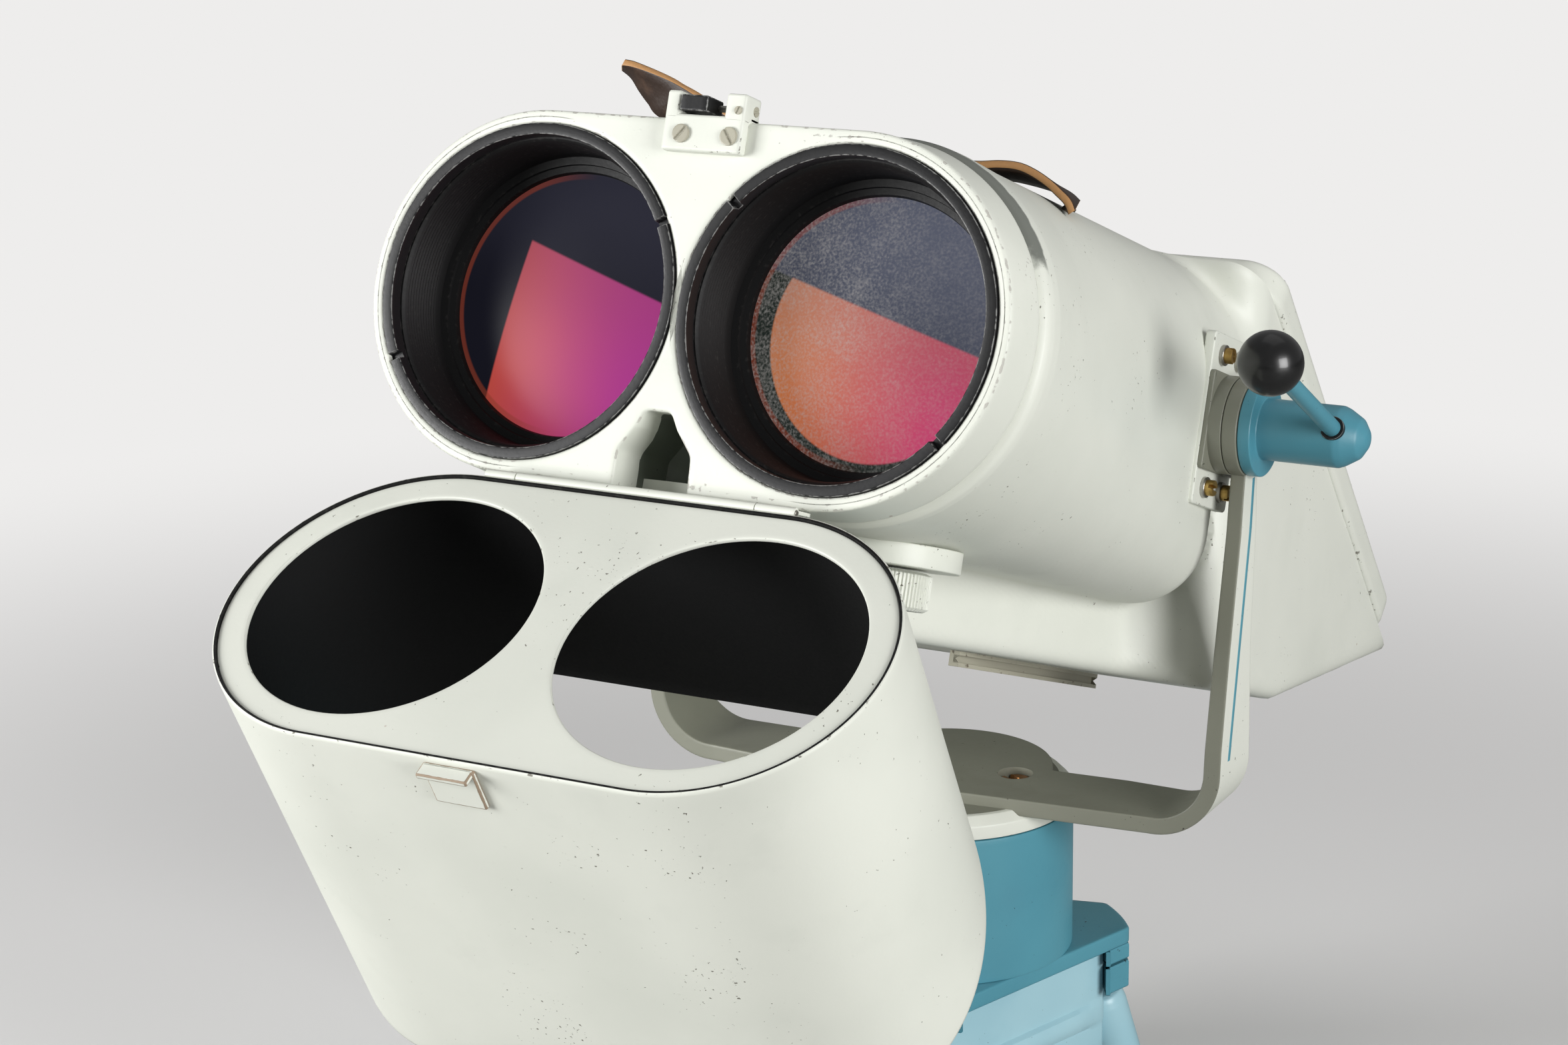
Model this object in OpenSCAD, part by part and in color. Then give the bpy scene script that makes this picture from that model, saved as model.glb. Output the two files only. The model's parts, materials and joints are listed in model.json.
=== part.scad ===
// Twin-tube observation binoculars on a pan and tilt yoke, with a turned-down lens hood.
// Millimetres. +Z is up, the front lenses face -Y, and X runs across the two tubes.
// The origin lies on the column's axis, at the level of the leg sockets' lower ends.

/* [Stance] */
// Height of the tilt axis above the column's top edge
axis_rise = 144; // [141:0.5:150]
// Angle at which the front lenses point up
front_up = 20; // [5:0.5:25]
// Angle from the yoke to the flat side of the base plate
base_turn = 17.3; // [0:0.1:30]
// Angle of the hood from its place against the front face
hood_open = 138; // [130:0.5:140]

/* [Tripod head] */
// Height of the head, from the leg sockets' lower ends to the base plate
head_h = 62; // [56:1:70]
// Distance from the centre to a flat side of the head
head_flat = 39; // [36:0.5:41]
// Distance from the centre to a cut corner of the head
head_corner = 55; // [53:0.5:57]
// Height of the head's side panels
panel_h = 40; // [38:1:42]
// Thickness of the panels
panel_wall = 6; // [5:0.5:8]
// Radius of the rolled rib along each panel
rib_r = 3.5; // [2.5:0.25:4]
// Depth of the rib below the base plate
rib_drop = 24; // [20:0.5:25]
// Depth of each panel's screw below the base plate
screw_drop = 33.5; // [33:0.5:34]
// Radius of the screws' heads in the panels
panel_head_r = 5.5; // [4:0.25:5.5]
// Radius of a leg socket
socket_r = 9; // [8:0.25:10]
// Height of a leg socket's upper end
socket_top = 39; // [36:0.5:42]
// Distance of a leg socket's upper end from the centre
socket_out = 58; // [56:0.5:60]
// Outward lean of a leg socket
socket_lean = 16; // [10:0.5:18]
// Radius of the hole for a leg
leg_hole_r = 6; // [5:0.25:6.5]
// Depth of the hole for a leg
leg_hole_depth = 26; // [20:1:30]

/* [Base plate] */
// Thickness of the plate between its corners
plate_t = 6; // [5:0.5:8]
// Radius of the plate's round corners
plate_r = 66; // [64:0.5:70]
// Distance from the centre to a flat side of the plate
plate_flat = 43; // [42:0.5:44]
// How far the blocks under the corners reach down
block_drop = 5.5; // [4:0.5:7]
// Height of the clamping jaw
jaw_h = 10; // [8:0.5:12]
// Gap between a block and the jaw
jaw_gap = 1; // [0.6:0.1:2]

/* [Column] */
// Radius of the column
column_r = 45; // [43:0.5:47]
// Height of the column
column_h = 52; // [48:1:60]
// Wall of the column
column_wall = 5; // [4:0.5:7]
// Radius of the spindle
spindle_r = 15; // [12:0.5:17]
// Wall of the two bushes
bush_wall = 4; // [3:0.5:5]
// Height of the pale ring on top of the column
rim_h = 5; // [4:0.5:7]

/* [Yoke] */
// Radius of the yoke's disc
disc_r = 42.5; // [41:0.5:44]
// Thickness of the yoke's bar in the disc and foot
bar_t = 6.5; // [5.5:0.25:8]
// Thickness of an arm at the tilt axis
arm_t = 5; // [4.5:0.25:5.5]
// Distance from the middle to the inner face of an arm
arm_in = 105.7; // [105.2:0.1:107]
// Outer radius of the bend between foot and arm
bend_r = 24; // [18:1:30]
// Reach of an arm's rear edge behind the tilt axis
arm_back = 5; // [4:0.5:7]
// Reach of the foot's front edge before the tilt axis
foot_front = 25; // [24:1:30]
// Reach of an arm's front edge before the tilt axis, at the top
arm_front = 4; // [3.5:0.5:7]
// Width of the painted line in the arms' outer faces
inlay_w = 1.6; // [1:0.2:2.5]
// Distance of the two disc screws from the centre
yoke_screw_x = 23.5; // [21:0.5:30]

/* [Trunnion] */
// Distance of the tilt axis behind the front face
pivot_back = 188; // [186:0.5:190]
// Radius of the trunnion discs
trunnion_r = 16; // [15:0.25:17]
// Radius of the pivot shafts
pivot_r = 8; // [7:0.25:9]
// Distance from the middle to the side pads of the housing
pad_x = 97; // [96.5:0.1:97.3]
// Length of the trunnion plates along the body
pad_l = 32; // [30:1:34]
// Height of the trunnion plates
pad_h = 56; // [50:1:58]
// Thickness of the trunnion plates
pad_t = 2.5; // [2:0.25:3]
// Thickness of the square boss on a trunnion plate
boss_t = 1.6; // [1.2:0.1:2]
// Radius of the clamping sleeve
sleeve_r = 10; // [9.5:0.25:11]
// Length of the clamping sleeve from its collar to its dome
sleeve_l = 29.6; // [27:0.2:32]
// Thickness of the sleeve's collar
collar_t = 4.2; // [3.5:0.1:5]
// Radius of the lever rod
rod_r = 2.8; // [2.4:0.1:3.2]
// Distance from the tilt axis to the middle of the ball knob
ball_out = 76; // [70:1:84]
// Radius of the ball knob
ball_r = 10; // [9:0.25:11]
// Angle of the lever above the horizontal
lever_up = 29.6; // [15:0.2:40]

/* [Body] */
// Gap between the two rings in the front face
ring_gap = 2; // [1:0.5:3]
// Width of the front face outside the rings
face_rim = 4.5; // [4:0.25:5]
// Depth of the front collar
collar_l = 16.5; // [14:0.5:18]
// Rise of the tubes behind the collar above the face's edge
swell = 2.5; // [1.5:0.25:3]
// Height of the body's top above the optical axes, at the tilt axis
body_top = 61.5; // [60.5:0.25:62]
// Depth of the body's underside below the optical axes, at the tilt axis
body_low = 61; // [60:0.25:62]
// Depth of the keel below the optical axes
keel_low = 86; // [84:0.5:88]
// Half width of the rear housing
rear_half = 94.5; // [93:0.5:95]
// Wall of the rear housing
shell_wall = 4; // [3:0.25:5]
// Reach of the rear cover's rim beyond the housing's side
rim_over = 2; // [1:0.25:4]
// Thickness of the rear cover
cover_t = 12; // [10:0.5:14]
// Length of the rear cover down its slope
cover_l = 211; // [206:1:214]
// Distance of the rear cover's upper edge behind the front face
cover_back = 233; // [231:0.5:236]
// Height of the rear cover's upper edge above the optical axes
cover_top = 61.7; // [61:0.1:63]
// Slope of the rear cover
cover_slope = 30; // [28:0.5:32]

/* [Objectives] */
// Radius of the black rings in the front face
bezel_r = 50; // [49.5:0.25:50.5]
// Width of the black rings
bezel_w = 3.5; // [3:0.25:4]
// Depth of the black rings
bezel_l = 4; // [3:0.25:5]
// Step from a ring's outside in to the bore for an objective cell
cell_step = 2; // [1.5:0.25:2.5]
// Length of an objective cell
cell_l = 58; // [52:1:62]
// Wall of an objective cell round its lens
cell_wall = 6; // [5:0.25:7]
// Depth of the lens's front behind the front face
lens_back = 29; // [26:0.5:32]
// Width of the rim that holds the lens
lens_rim = 2; // [1.5:0.25:3]

/* [Hood] */
// Distance of the hood's outline inside the face's edge
hood_inset = 1; // [0.5:0.25:1.5]
// Wall of the hood
hood_wall = 1.2; // [1:0.1:1.6]
// Length of the hood along the optical axes
hood_l = 121; // [110:1:126]
// Radius of the curve at the hood's far end
hood_arc = 190; // [170:5:220]
// Lean of the hood's far end, to the longer side
hood_lean = 28.8; // [22:0.2:32]
// Radius of the holes in the hood's plate
hood_hole_r = 43.8; // [42:0.2:45]
// Thickness of the hood's plate
hood_plate_t = 1.5; // [1:0.1:2]
// Distance of the hinge axis before the front face
hinge_out = 5.8; // [5.4:0.1:6.5]
// Distance of the hinge axis below the face's edge
hinge_drop = 0.9; // [0.7:0.1:1.5]
// Radius of the hinge knuckles
knuckle_r = 1.6; // [1.4:0.05:1.6]
// Radius of the hinge pin
hinge_pin_r = 1; // [0.8:0.05:1.1]

/* [Latch] */
// Width of the latch block
latch_w = 26; // [24:0.5:28]
// Thickness of the latch block before the face
latch_t = 4; // [3.6:0.1:4.3]
// Rise of the latch block's top above the face's edge
latch_rise = 7; // [6:0.5:9.5]
// Distance of the latch block's lower edge below the face's edge
latch_drop = 10.5; // [9.5:0.5:11.5]
// Travel of the latch bar
latch_travel = 3.5; // [2.5:0.25:4]

/* [Eyepieces] */
// Distance of the eyepiece housings down the rear cover
eye_down = 110; // [104:1:114]
// Offset of each eyepiece from its housing's swivel
eye_offset = 20; // [18:0.5:21]
// Angle of the offset from straight across
eye_swing = 22; // [20:1:30]
// Radius of the swivelling housings
swing_r = 25; // [24:0.5:26]
// Height of the swivelling housings
swing_h = 20; // [16:1:24]
// Radius of the eyepiece barrels
eye_r = 18; // [16:0.5:19]
// Length of the eyepiece barrels
eye_l = 26; // [22:1:30]
// Radius of the focusing rings
focus_r = 22; // [21:0.5:23]
// Length of the eyecups
cup_l = 14; // [10:1:18]

/* [Underside] */
// Radius of the flange of the filter knob
flange_r = 23; // [20:0.5:24]
// Thickness of that flange
flange_t = 6.5; // [5:0.5:8]
// Radius of the filter knob
knob_r = 15; // [12:0.5:16]
// Height of the filter knob
knob_h = 11.5; // [9:0.5:14]
// Distance of the knob from the middle
knob_x = 46; // [44:0.5:50]
// Distance of the knob behind the front face
knob_y = 66; // [60:1:70]
// Length of the mounting shoe
rail_l = 122; // [110:1:124]
// Width of the mounting shoe
rail_w = 76; // [60:1:78]
// Height of the mounting shoe
rail_h = 4.5; // [4:0.25:6]
// Distance of the shoe's middle behind the front face
rail_y = 209; // [206:1:212]
// Depth of the grooves in the shoe's sides
rail_groove = 3; // [2:0.25:4]

/* [Strap] */
// Width of the leather strap
strap_w = 22; // [18:0.5:26]
// Thickness of the leather strap
strap_t = 2.4; // [2:0.1:3]
// Distance of the strap behind the front face
strap_y = 90; // [86:1:96]

/* [Hidden] */
$fn = 64;

paint = [0.80, 0.82, 0.77];
blue = [0.27, 0.55, 0.62];
black = [0.06, 0.06, 0.06];
dark = [0.18, 0.20, 0.21];
steel = [0.66, 0.66, 0.66];
brass = [0.72, 0.60, 0.32];
bronze = [0.66, 0.45, 0.22];
glass = [0.55, 0.40, 0.62];
leather = [0.22, 0.12, 0.07];

eps = 0.01;
run_fit = 0.05;
seat = 0.3;
axis_gap = 2 * bezel_r + ring_gap;
axis_half = axis_gap / 2;
face_r = bezel_r + face_rim;
swell_r = face_r + swell;
hood_r = face_r - hood_inset;
hinge_low = face_r + hinge_drop;
latch_top = face_r + latch_rise;
latch_foot = face_r - latch_drop;
latch_screw_z = latch_foot + 5;
latch_x = -11;
latch_screw_x = [latch_x + 6.6, latch_x + latch_w - 3.8];
bezel_in = bezel_r - bezel_w;
cell_r = bezel_r - cell_step;
lens_r = cell_r - cell_wall;
plate_top = head_h + plate_t;
rim_z = plate_top + column_h;
disc_z = rim_z + seat + rim_h;
axis_z = rim_z + axis_rise;
bush_r = spindle_r + run_fit;
bar_in = arm_in + arm_t - bar_t;
inlay_top = trunnion_r + 1;
inlay_lean = 6.65;
disc_face = arm_in - 0.2;
arm_out = arm_in + arm_t;
sleeve_x = arm_out + 0.2;
sleeve_end = sleeve_x + collar_t + sleeve_l;
dome_r = 11.5;
stud_r = 5;
stud_l = 18;
pivot_in = 9;
swivel_r = 20;
swivel_bore = 14;
eye_bore = 13;
bridge_set = 1;
focus_l = eye_l - 10;
lens_curve = 40;
wedge = [[226, 12 - keel_low], [268, 12 - keel_low], [400, -46.5], [226, body_top - 16.5]];

// Places the three like things round the column
module thirds() {
    for (k = [0:2]) rotate([0, 0, k * 120]) children();
}

// From the base plate's own frame, whose first corner lies 60 degrees from a flat side
module on_base() {
    rotate([0, 0, -base_turn]) children();
}

// From the body's frame, with its origin in the middle of the front face
module on_body() {
    translate([0, 0, axis_z]) rotate([-front_up, 0, 0]) translate([0, -pivot_back, 0]) children();
}

// From the hood's closed place to its open one
module on_hood() {
    on_body() translate([0, -hinge_out, -hinge_low]) rotate([hood_open, 0, 0])
        translate([0, hinge_out, hinge_low]) children();
}

// From the rear cover's frame: Y runs down the slope and Z stands out of the cover
module on_cover() {
    on_body() translate([0, cover_back, cover_top]) rotate([-cover_slope, 0, 0]) children();
}

// A cylinder along the optical axis, from the front to the back
module tube_y(r, y0, y1) {
    translate([0, y1, 0]) rotate([90, 0, 0]) cylinder(r = r, h = y1 - y0);
}

// A cylinder across the body
module tube_x(r, x0, x1) {
    translate([x0, 0, 0]) rotate([0, 90, 0]) cylinder(r = r, h = x1 - x0);
}

// A slab with two round ends, one about each optical axis
module twin(r, y0, y1) {
    for (s = [-1, 1]) translate([s * axis_half, 0, 0]) tube_y(r, y0, y1);
    translate([-axis_half, y0, -r]) cube([axis_gap, y1 - y0, 2 * r]);
}

// A rounded rectangle, centred across, made of squares and circles
module plate_2d(w, l, r) {
    translate([-w / 2 + r, 0]) square([w - 2 * r, l]);
    translate([-w / 2, r]) square([w, l - 2 * r]);
    for (x = [-w / 2 + r, w / 2 - r], y = [r, l - r]) translate([x, y]) circle(r);
}

// A slotted cheese head on the Z axis
module slotted_head(r, h, slot) {
    difference() {
        cylinder(r = r, h = h);
        translate([-r - 1, -slot / 2, h * 0.5]) cube([2 * r + 2, slot, h]);
    }
}

// Tripod head

module socket_axis() {
    rotate([0, 0, 60]) translate([socket_out, 0, socket_top]) rotate([0, -socket_lean, 0]) children();
}

module head_outline(flat, corner) {
    intersection() {
        polygon([for (k = [0:2]) 2 * flat * [cos(60 + k * 120), sin(60 + k * 120)]]);
        rotate(180) polygon([for (k = [0:2]) 2 * corner * [cos(60 + k * 120), sin(60 + k * 120)]]);
    }
}

module tripod_crown() color(blue) on_base() difference() {
    union() {
        translate([0, 0, head_h - panel_h]) linear_extrude(panel_h) head_outline(head_flat, head_corner);
        thirds() translate([head_flat - 1.5, 0, head_h - rib_drop]) rotate([90, 0, 0])
            translate([0, 0, -head_flat]) cylinder(r = rib_r, h = 2 * head_flat);
        intersection() {
            thirds() socket_axis() translate([0, 0, -2 * socket_top]) cylinder(r = socket_r, h = 2 * socket_top);
            translate([-150, -150, 0]) cube([300, 300, head_h]);
        }
    }
    translate([0, 0, head_h - panel_h - eps]) linear_extrude(panel_h - panel_wall)
        head_outline(head_flat - panel_wall, head_corner - panel_wall - 2);
    thirds() socket_axis() translate([0, 0, -socket_top / cos(socket_lean) - 10])
        cylinder(r = leg_hole_r, h = leg_hole_depth + 10);
    thirds() translate([head_flat - 2 * panel_wall, 0, head_h - screw_drop]) rotate([0, 90, 0])
        cylinder(r = 3, h = 3 * panel_wall);
}

module crown_screws() color(brass) on_base() thirds()
    translate([head_flat - panel_wall, 0, head_h - screw_drop]) rotate([0, 90, 0]) {
        cylinder(r = 3, h = panel_wall);
        translate([0, 0, panel_wall]) slotted_head(panel_head_r, 3, 1.4);
    }

// Base plate and its clamp

module plate_outline() {
    intersection() {
        circle(plate_r);
        polygon([for (k = [0:2]) 2 * plate_flat * [cos(60 + k * 120), sin(60 + k * 120)]]);
    }
}

// The space of one corner outside the tripod head
module corner_zone(gap) {
    rotate([0, 0, 60]) translate([head_corner + gap, -60, -60]) cube([60, 120, 120]);
}

module base_plate() color(blue) on_base() difference() {
    union() {
        translate([0, 0, head_h]) linear_extrude(plate_t) plate_outline();
        intersection() {
            translate([0, 0, head_h - block_drop]) linear_extrude(block_drop + eps) plate_outline();
            thirds() translate([0, 0, head_h]) corner_zone(seat);
        }
    }
    thirds() rotate([0, 0, 60]) translate([column_r - column_wall * 2, 0, head_h - 1]) {
        cylinder(r = 2.5, h = plate_t + 2);
        cylinder(r = 4.5, h = 3.5);
    }
    rotate([0, 0, 60]) for (s = [-1, 1]) translate([head_corner + 5, s * 6, head_h - block_drop - 1])
        cylinder(r = 1.5 + run_fit, h = 8);
}

module clamp_jaw() color(blue) on_base() {
    intersection() {
        translate([0, 0, head_h - block_drop - jaw_gap - jaw_h]) linear_extrude(jaw_h) plate_outline();
        translate([0, 0, head_h]) corner_zone(seat);
    }
    rotate([0, 0, 60]) for (s = [-1, 1]) translate([head_corner + 5, s * 6, head_h - block_drop - jaw_gap - eps])
        cylinder(r = 1.5, h = 4);
}

// Column

module column() color(blue) difference() {
    translate([0, 0, plate_top]) cylinder(r = column_r, h = column_h);
    translate([0, 0, plate_top + 4]) cylinder(r = column_r - column_wall, h = column_h - 14);
    translate([0, 0, plate_top - 1]) cylinder(r = spindle_r - 2, h = 10);
    translate([0, 0, rim_z - 12]) cylinder(r = bush_r + bush_wall, h = 14);
    on_base() thirds() rotate([0, 0, 60]) translate([column_r - column_wall * 2, 0, plate_top - 1])
        cylinder(r = 2.5, h = 8);
}

module column_screws() color(steel) on_base() thirds() rotate([0, 0, 60])
    translate([column_r - column_wall * 2, 0, head_h]) {
        cylinder(r = 2.5, h = plate_t + 3);
        cylinder(r = 4.5, h = 2.5);
    }

module bush(z0, h) {
    difference() {
        translate([0, 0, z0]) cylinder(r = bush_r + bush_wall, h = h);
        translate([0, 0, z0 - 1]) cylinder(r = bush_r, h = h + 2);
    }
}

module bush_upper() color(bronze) bush(rim_z - 12, 12 + seat - run_fit);

// The lower bush stands in a web that closes the column's foot
module bush_lower() color(bronze) difference() {
    union() {
        translate([0, 0, plate_top + 4]) cylinder(r = column_r - column_wall, h = 4);
        translate([0, 0, plate_top + 4]) cylinder(r = bush_r + bush_wall, h = 14);
    }
    translate([0, 0, plate_top]) cylinder(r = bush_r, h = 24);
}

module spindle() color(steel) {
    translate([0, 0, plate_top + 8]) cylinder(r = spindle_r, h = disc_z - plate_top - 8);
}

module spindle_nut() color(steel) difference() {
    translate([0, 0, plate_top + 18 + seat]) cylinder(r = spindle_r + 7, h = 7, $fn = 6);
    translate([0, 0, plate_top + 17]) cylinder(r = spindle_r, h = 10);
}

// Yoke

module rim_ring() color(paint) difference() {
    union() {
        translate([0, 0, rim_z + seat]) cylinder(r = column_r, h = rim_h / 2);
        translate([0, 0, rim_z + seat + rim_h / 2]) cylinder(r1 = column_r, r2 = disc_r, h = rim_h / 2);
    }
    translate([0, 0, rim_z]) cylinder(r = spindle_r, h = rim_h + 2);
    for (s = [-1, 1]) translate([s * yoke_screw_x, 0, rim_z]) cylinder(r = 3, h = rim_h + 2);
}

// The bent bar, seen from the front: foot, two bends and two arms
module bar_front(side) {
    difference() {
        translate([-arm_out, disc_z]) square([2 * arm_out, axis_z - disc_z]);
        translate([-bar_in, disc_z + bend_r]) square([2 * bar_in, axis_z]);
        translate([-arm_out + bend_r, disc_z + bar_t]) square([2 * (arm_out - bend_r), axis_z]);
        for (s = [-1, 1]) {
            translate([s * (arm_out - bend_r), disc_z + bend_r]) circle(bend_r - bar_t);
            difference() {
                translate([s * arm_out - bend_r * (s + 1) / 2, disc_z]) square(bend_r);
                translate([s * (arm_out - bend_r), disc_z + bend_r]) circle(bend_r);
            }
        }
    }
}

// The bar's side outline, whose front edge leans forward towards the foot
module bar_side() {
    polygon([[arm_back, axis_z], [arm_back, disc_z - 1], [-foot_front, disc_z - 1],
        [-foot_front, disc_z + bend_r], [-arm_front, axis_z]]);
}

module arm_eye_hole(s) {
    translate([0, 0, axis_z]) tube_x(pivot_r + run_fit, s * arm_in - 10, s * arm_in + 10);
}

module yoke_body() {
    intersection() {
        translate([0, 60, 0]) rotate([90, 0, 0]) linear_extrude(120) bar_front();
        translate([-150, 0, 0]) rotate([90, 0, 90]) linear_extrude(300) bar_side();
    }
    translate([0, 0, disc_z]) cylinder(r = disc_r, h = bar_t);
    for (s = [-1, 1]) translate([0, 0, axis_z])
        tube_x(trunnion_r, s > 0 ? arm_in : -arm_out, s > 0 ? arm_out : -arm_in);
}

module inlay_cut(s, depth) {
    length = axis_z - inlay_top - disc_z - bend_r - 5;
    translate([s > 0 ? arm_out - depth : -arm_out, arm_back / 3, axis_z - inlay_top])
        rotate([-inlay_lean, 0, 0]) translate([0, -inlay_w / 2, -length]) cube([depth, inlay_w, length]);
}

module yoke() color(paint) difference() {
    yoke_body();
    for (s = [-1, 1]) {
        arm_eye_hole(s);
        translate([0, 0, axis_z]) tube_x(trunnion_r + 0.5, s > 0 ? arm_in - 10 : -arm_in, s > 0 ? arm_in : 10 - arm_in);
        inlay_cut(s, 0.8);
        translate([s * yoke_screw_x, 0, disc_z - 1]) {
            cylinder(r = 3, h = bar_t + 2);
            translate([0, 0, 4]) cylinder(r = 6.8, h = bar_t);
        }
    }
}

module yoke_inlay() color(blue) for (s = [-1, 1]) inlay_cut(s, 0.8);

module yoke_screws() color(steel) for (s = [-1, 1]) translate([s * yoke_screw_x, 0, rim_z + 1]) {
    cylinder(r = 3, h = rim_h + seat + 2);
    translate([0, 0, rim_h + seat + 2]) slotted_head(5.6, 2.6, 1.4);
}

// Clamping sleeve, lever and the plain cap of the other side

module sleeve_form(x0, len) {
    dome_back = sqrt(dome_r * dome_r - sleeve_r * sleeve_r);
    dome_half = asin(sleeve_r / dome_r);
    translate([x0, 0, 0]) rotate([0, 90, 0]) rotate_extrude() polygon(concat(
        [[stud_r + run_fit, 0], [trunnion_r - 0.5, 0], [trunnion_r - 0.5, collar_t], [sleeve_r, collar_t]],
        [for (k = [0:8]) let (a = dome_half * (1 - k / 8))
            [dome_r * sin(a), len - dome_back + dome_r * cos(a)]],
        [[0, stud_l + 1], [stud_r + run_fit, stud_l + 1]]));
}

rod_x = sleeve_end - 4.7;
rod_foot = 4;

module lever_frame() {
    translate([rod_x, 0, axis_z]) rotate([90 - lever_up, 0, 0]) children();
}

module clamp_sleeve() color(blue) difference() {
    translate([0, 0, axis_z]) sleeve_form(sleeve_x, collar_t + sleeve_l);
    lever_frame() translate([0, 0, rod_foot]) cylinder(r = rod_r, h = 20);
}

module lever_rod() color(blue) lever_frame() translate([0, 0, rod_foot])
    cylinder(r = rod_r, h = ball_out - rod_foot);

module lever_ball() color(black) difference() {
    lever_frame() translate([0, 0, ball_out]) sphere(ball_r);
    lever_frame() cylinder(r = rod_r, h = ball_out);
}

module trunnion_cap() color(blue) translate([0, 0, axis_z]) mirror([1, 0, 0])
    sleeve_form(sleeve_x, collar_t + 14);

// Trunnions on the body's sides

module pad_holes(extra) {
    for (y = [-pad_l / 2 + 8.5, pad_l / 2 - 8.5], z = [-pad_h / 2 + 6.5, pad_h / 2 - 6.5])
        translate([0, pivot_back + y, z]) children();
}

module trunnion_plate() {
    difference() {
        union() {
            translate([pad_x, pivot_back - pad_l / 2, -pad_h / 2]) cube([pad_t, pad_l, pad_h]);
            translate([pad_x + pad_t - eps, pivot_back - pad_l / 2, -pad_l / 2]) cube([boss_t + eps, pad_l, pad_l]);
            translate([0, pivot_back, 0]) tube_x(trunnion_r, pad_x + pad_t, disc_face);
        }
        translate([0, pivot_back, 0]) tube_x(pivot_r, pad_x - 1, disc_face + 1);
        pad_holes() tube_x(1.6, pad_x - 1, pad_x + pad_t + 1);
    }
}

module trunnion_plates() color(paint) on_body() {
    trunnion_plate();
    mirror([1, 0, 0]) trunnion_plate();
}

module trunnion_fixing() pad_holes() {
    tube_x(1.6, pad_x - 6, pad_x + pad_t + 1.6);
    translate([pad_x + pad_t + 1.6, 0, 0]) rotate([0, 90, 0]) slotted_head(2.6, 2.4, 0.8);
}

module trunnion_washer() pad_holes() difference() {
    tube_x(3.4, pad_x + pad_t, pad_x + pad_t + 1.6);
    tube_x(1.6, pad_x + pad_t - 1, pad_x + pad_t + 2);
}

module trunnion_fixings() color(brass) on_body() for (s = [0, 1]) mirror([s, 0, 0]) {
    trunnion_fixing();
    trunnion_washer();
}

module pivot() translate([0, pivot_back, 0]) {
    tube_x(pivot_r, pad_x - pivot_in, arm_out);
    tube_x(stud_r, arm_out - eps, arm_out + stud_l);
}

module pivots() color(steel) on_body() {
    pivot();
    mirror([1, 0, 0]) pivot();
}

// Housing

// The smooth barrel part, from a twin-round front to a flat-sided rear
module barrel_form() hull() {
    for (s = [-1, 1]) {
        translate([s * axis_half, 0, 0]) tube_y(face_r + 1.3, collar_l + 2, collar_l + 4, $fn = 32);
        translate([s * axis_half, 0, 0]) tube_y(swell_r, collar_l + 11, collar_l + 13, $fn = 32);
        translate([s * (pad_x - 34), 0, body_top - 34]) tube_y(34, pivot_back - 8, pivot_back + 24, $fn = 32);
        translate([s * (pad_x - 31), 0, 30 - body_low]) tube_y(30, pivot_back - 12, pivot_back + 2, $fn = 32);
        translate([s * (pad_x - 26), 0, -27]) tube_y(20, pivot_back + 20, pivot_back + 24, $fn = 32);
    }
}

// The keel under the tubes, narrow in front and wide where it joins the rear housing
module keel_form() hull() {
    for (s = [-1, 1]) {
        translate([s * 10, 40, -50]) sphere(8, $fn = 16);
        translate([s * 12, 66, 8 - keel_low]) sphere(8, $fn = 16);
        translate([s * 58, 216, 10 - keel_low]) sphere(10, $fn = 16);
        translate([s * 56, 216, -45]) sphere(10, $fn = 16);
    }
}

// The wedge-shaped housing of the prisms
module rear_form() hull() {
    for (s = [-1, 1], p = wedge) translate([s * (rear_half - 12), p[0], p[1]]) sphere(12, $fn = 24);
}

// The space inside it
module rear_space() {
    half = rear_half - shell_wall;
    rotate([90, 0, 90]) translate([0, 0, -half]) linear_extrude(2 * half)
        hull() for (p = wedge) translate(p) circle(12 - shell_wall, $fn = 32);
}

// The cover's place and everything behind it
module behind_cover(depth) {
    translate([0, cover_back, cover_top]) rotate([-cover_slope, 0, 0])
        translate([-150, 0, -depth]) cube([300, 400, 200]);
}

module keel_arch() {
    translate([0, 26, -face_r]) rotate([90, 0, 0]) {
        translate([0, 12, 0]) cylinder(r = 11.5, h = 40);
        translate([-11.5, -10, 0]) cube([23, 22, 40]);
    }
}

module housing_body() {
    difference() {
        union() {
            twin(face_r, 0, collar_l);
            twin(face_r - 1.2, collar_l - eps, collar_l + 2 + eps);
            barrel_form();
            keel_form();
            rear_form();
            for (s = [-1, 1]) translate([s > 0 ? pad_x - 14 : -pad_x, pivot_back - pad_l / 2, -pad_h / 2])
                cube([14, pad_l, pad_h]);
        }
        rear_space();
        behind_cover(cover_t);
        translate([knob_x, knob_y, -knob_z - 20]) cylinder(r = flange_r + seat, h = 20);
        for (s = [-1, 1]) {
            translate([s * axis_half, 0, 0]) {
                tube_y(bezel_r, -1, bezel_l);
                tube_y(cell_r, -1, bezel_l + cell_l);
                tube_y(cell_r - 2, -1, baffle_y + baffle_t);
                tube_y(light_r, -1, pivot_back + 50);
            }
            translate([s > 0 ? pad_x : -pad_x - 30, pivot_back - pad_l / 2 - 1, -pad_h / 2 - 1])
                cube([30, pad_l + 2, pad_h + 2]);
            translate([0, pivot_back, 0])
                tube_x(pivot_r, s > 0 ? pad_x - pivot_in : -pad_x - 5, s > 0 ? pad_x + 5 : pivot_in - pad_x);
            mirror([s > 0 ? 0 : 1, 0, 0]) pad_holes() tube_x(1.6, pad_x - 6, pad_x + 2);
        }
        keel_arch();
    }
}

module housing() color(paint) on_body() housing_body();

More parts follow.
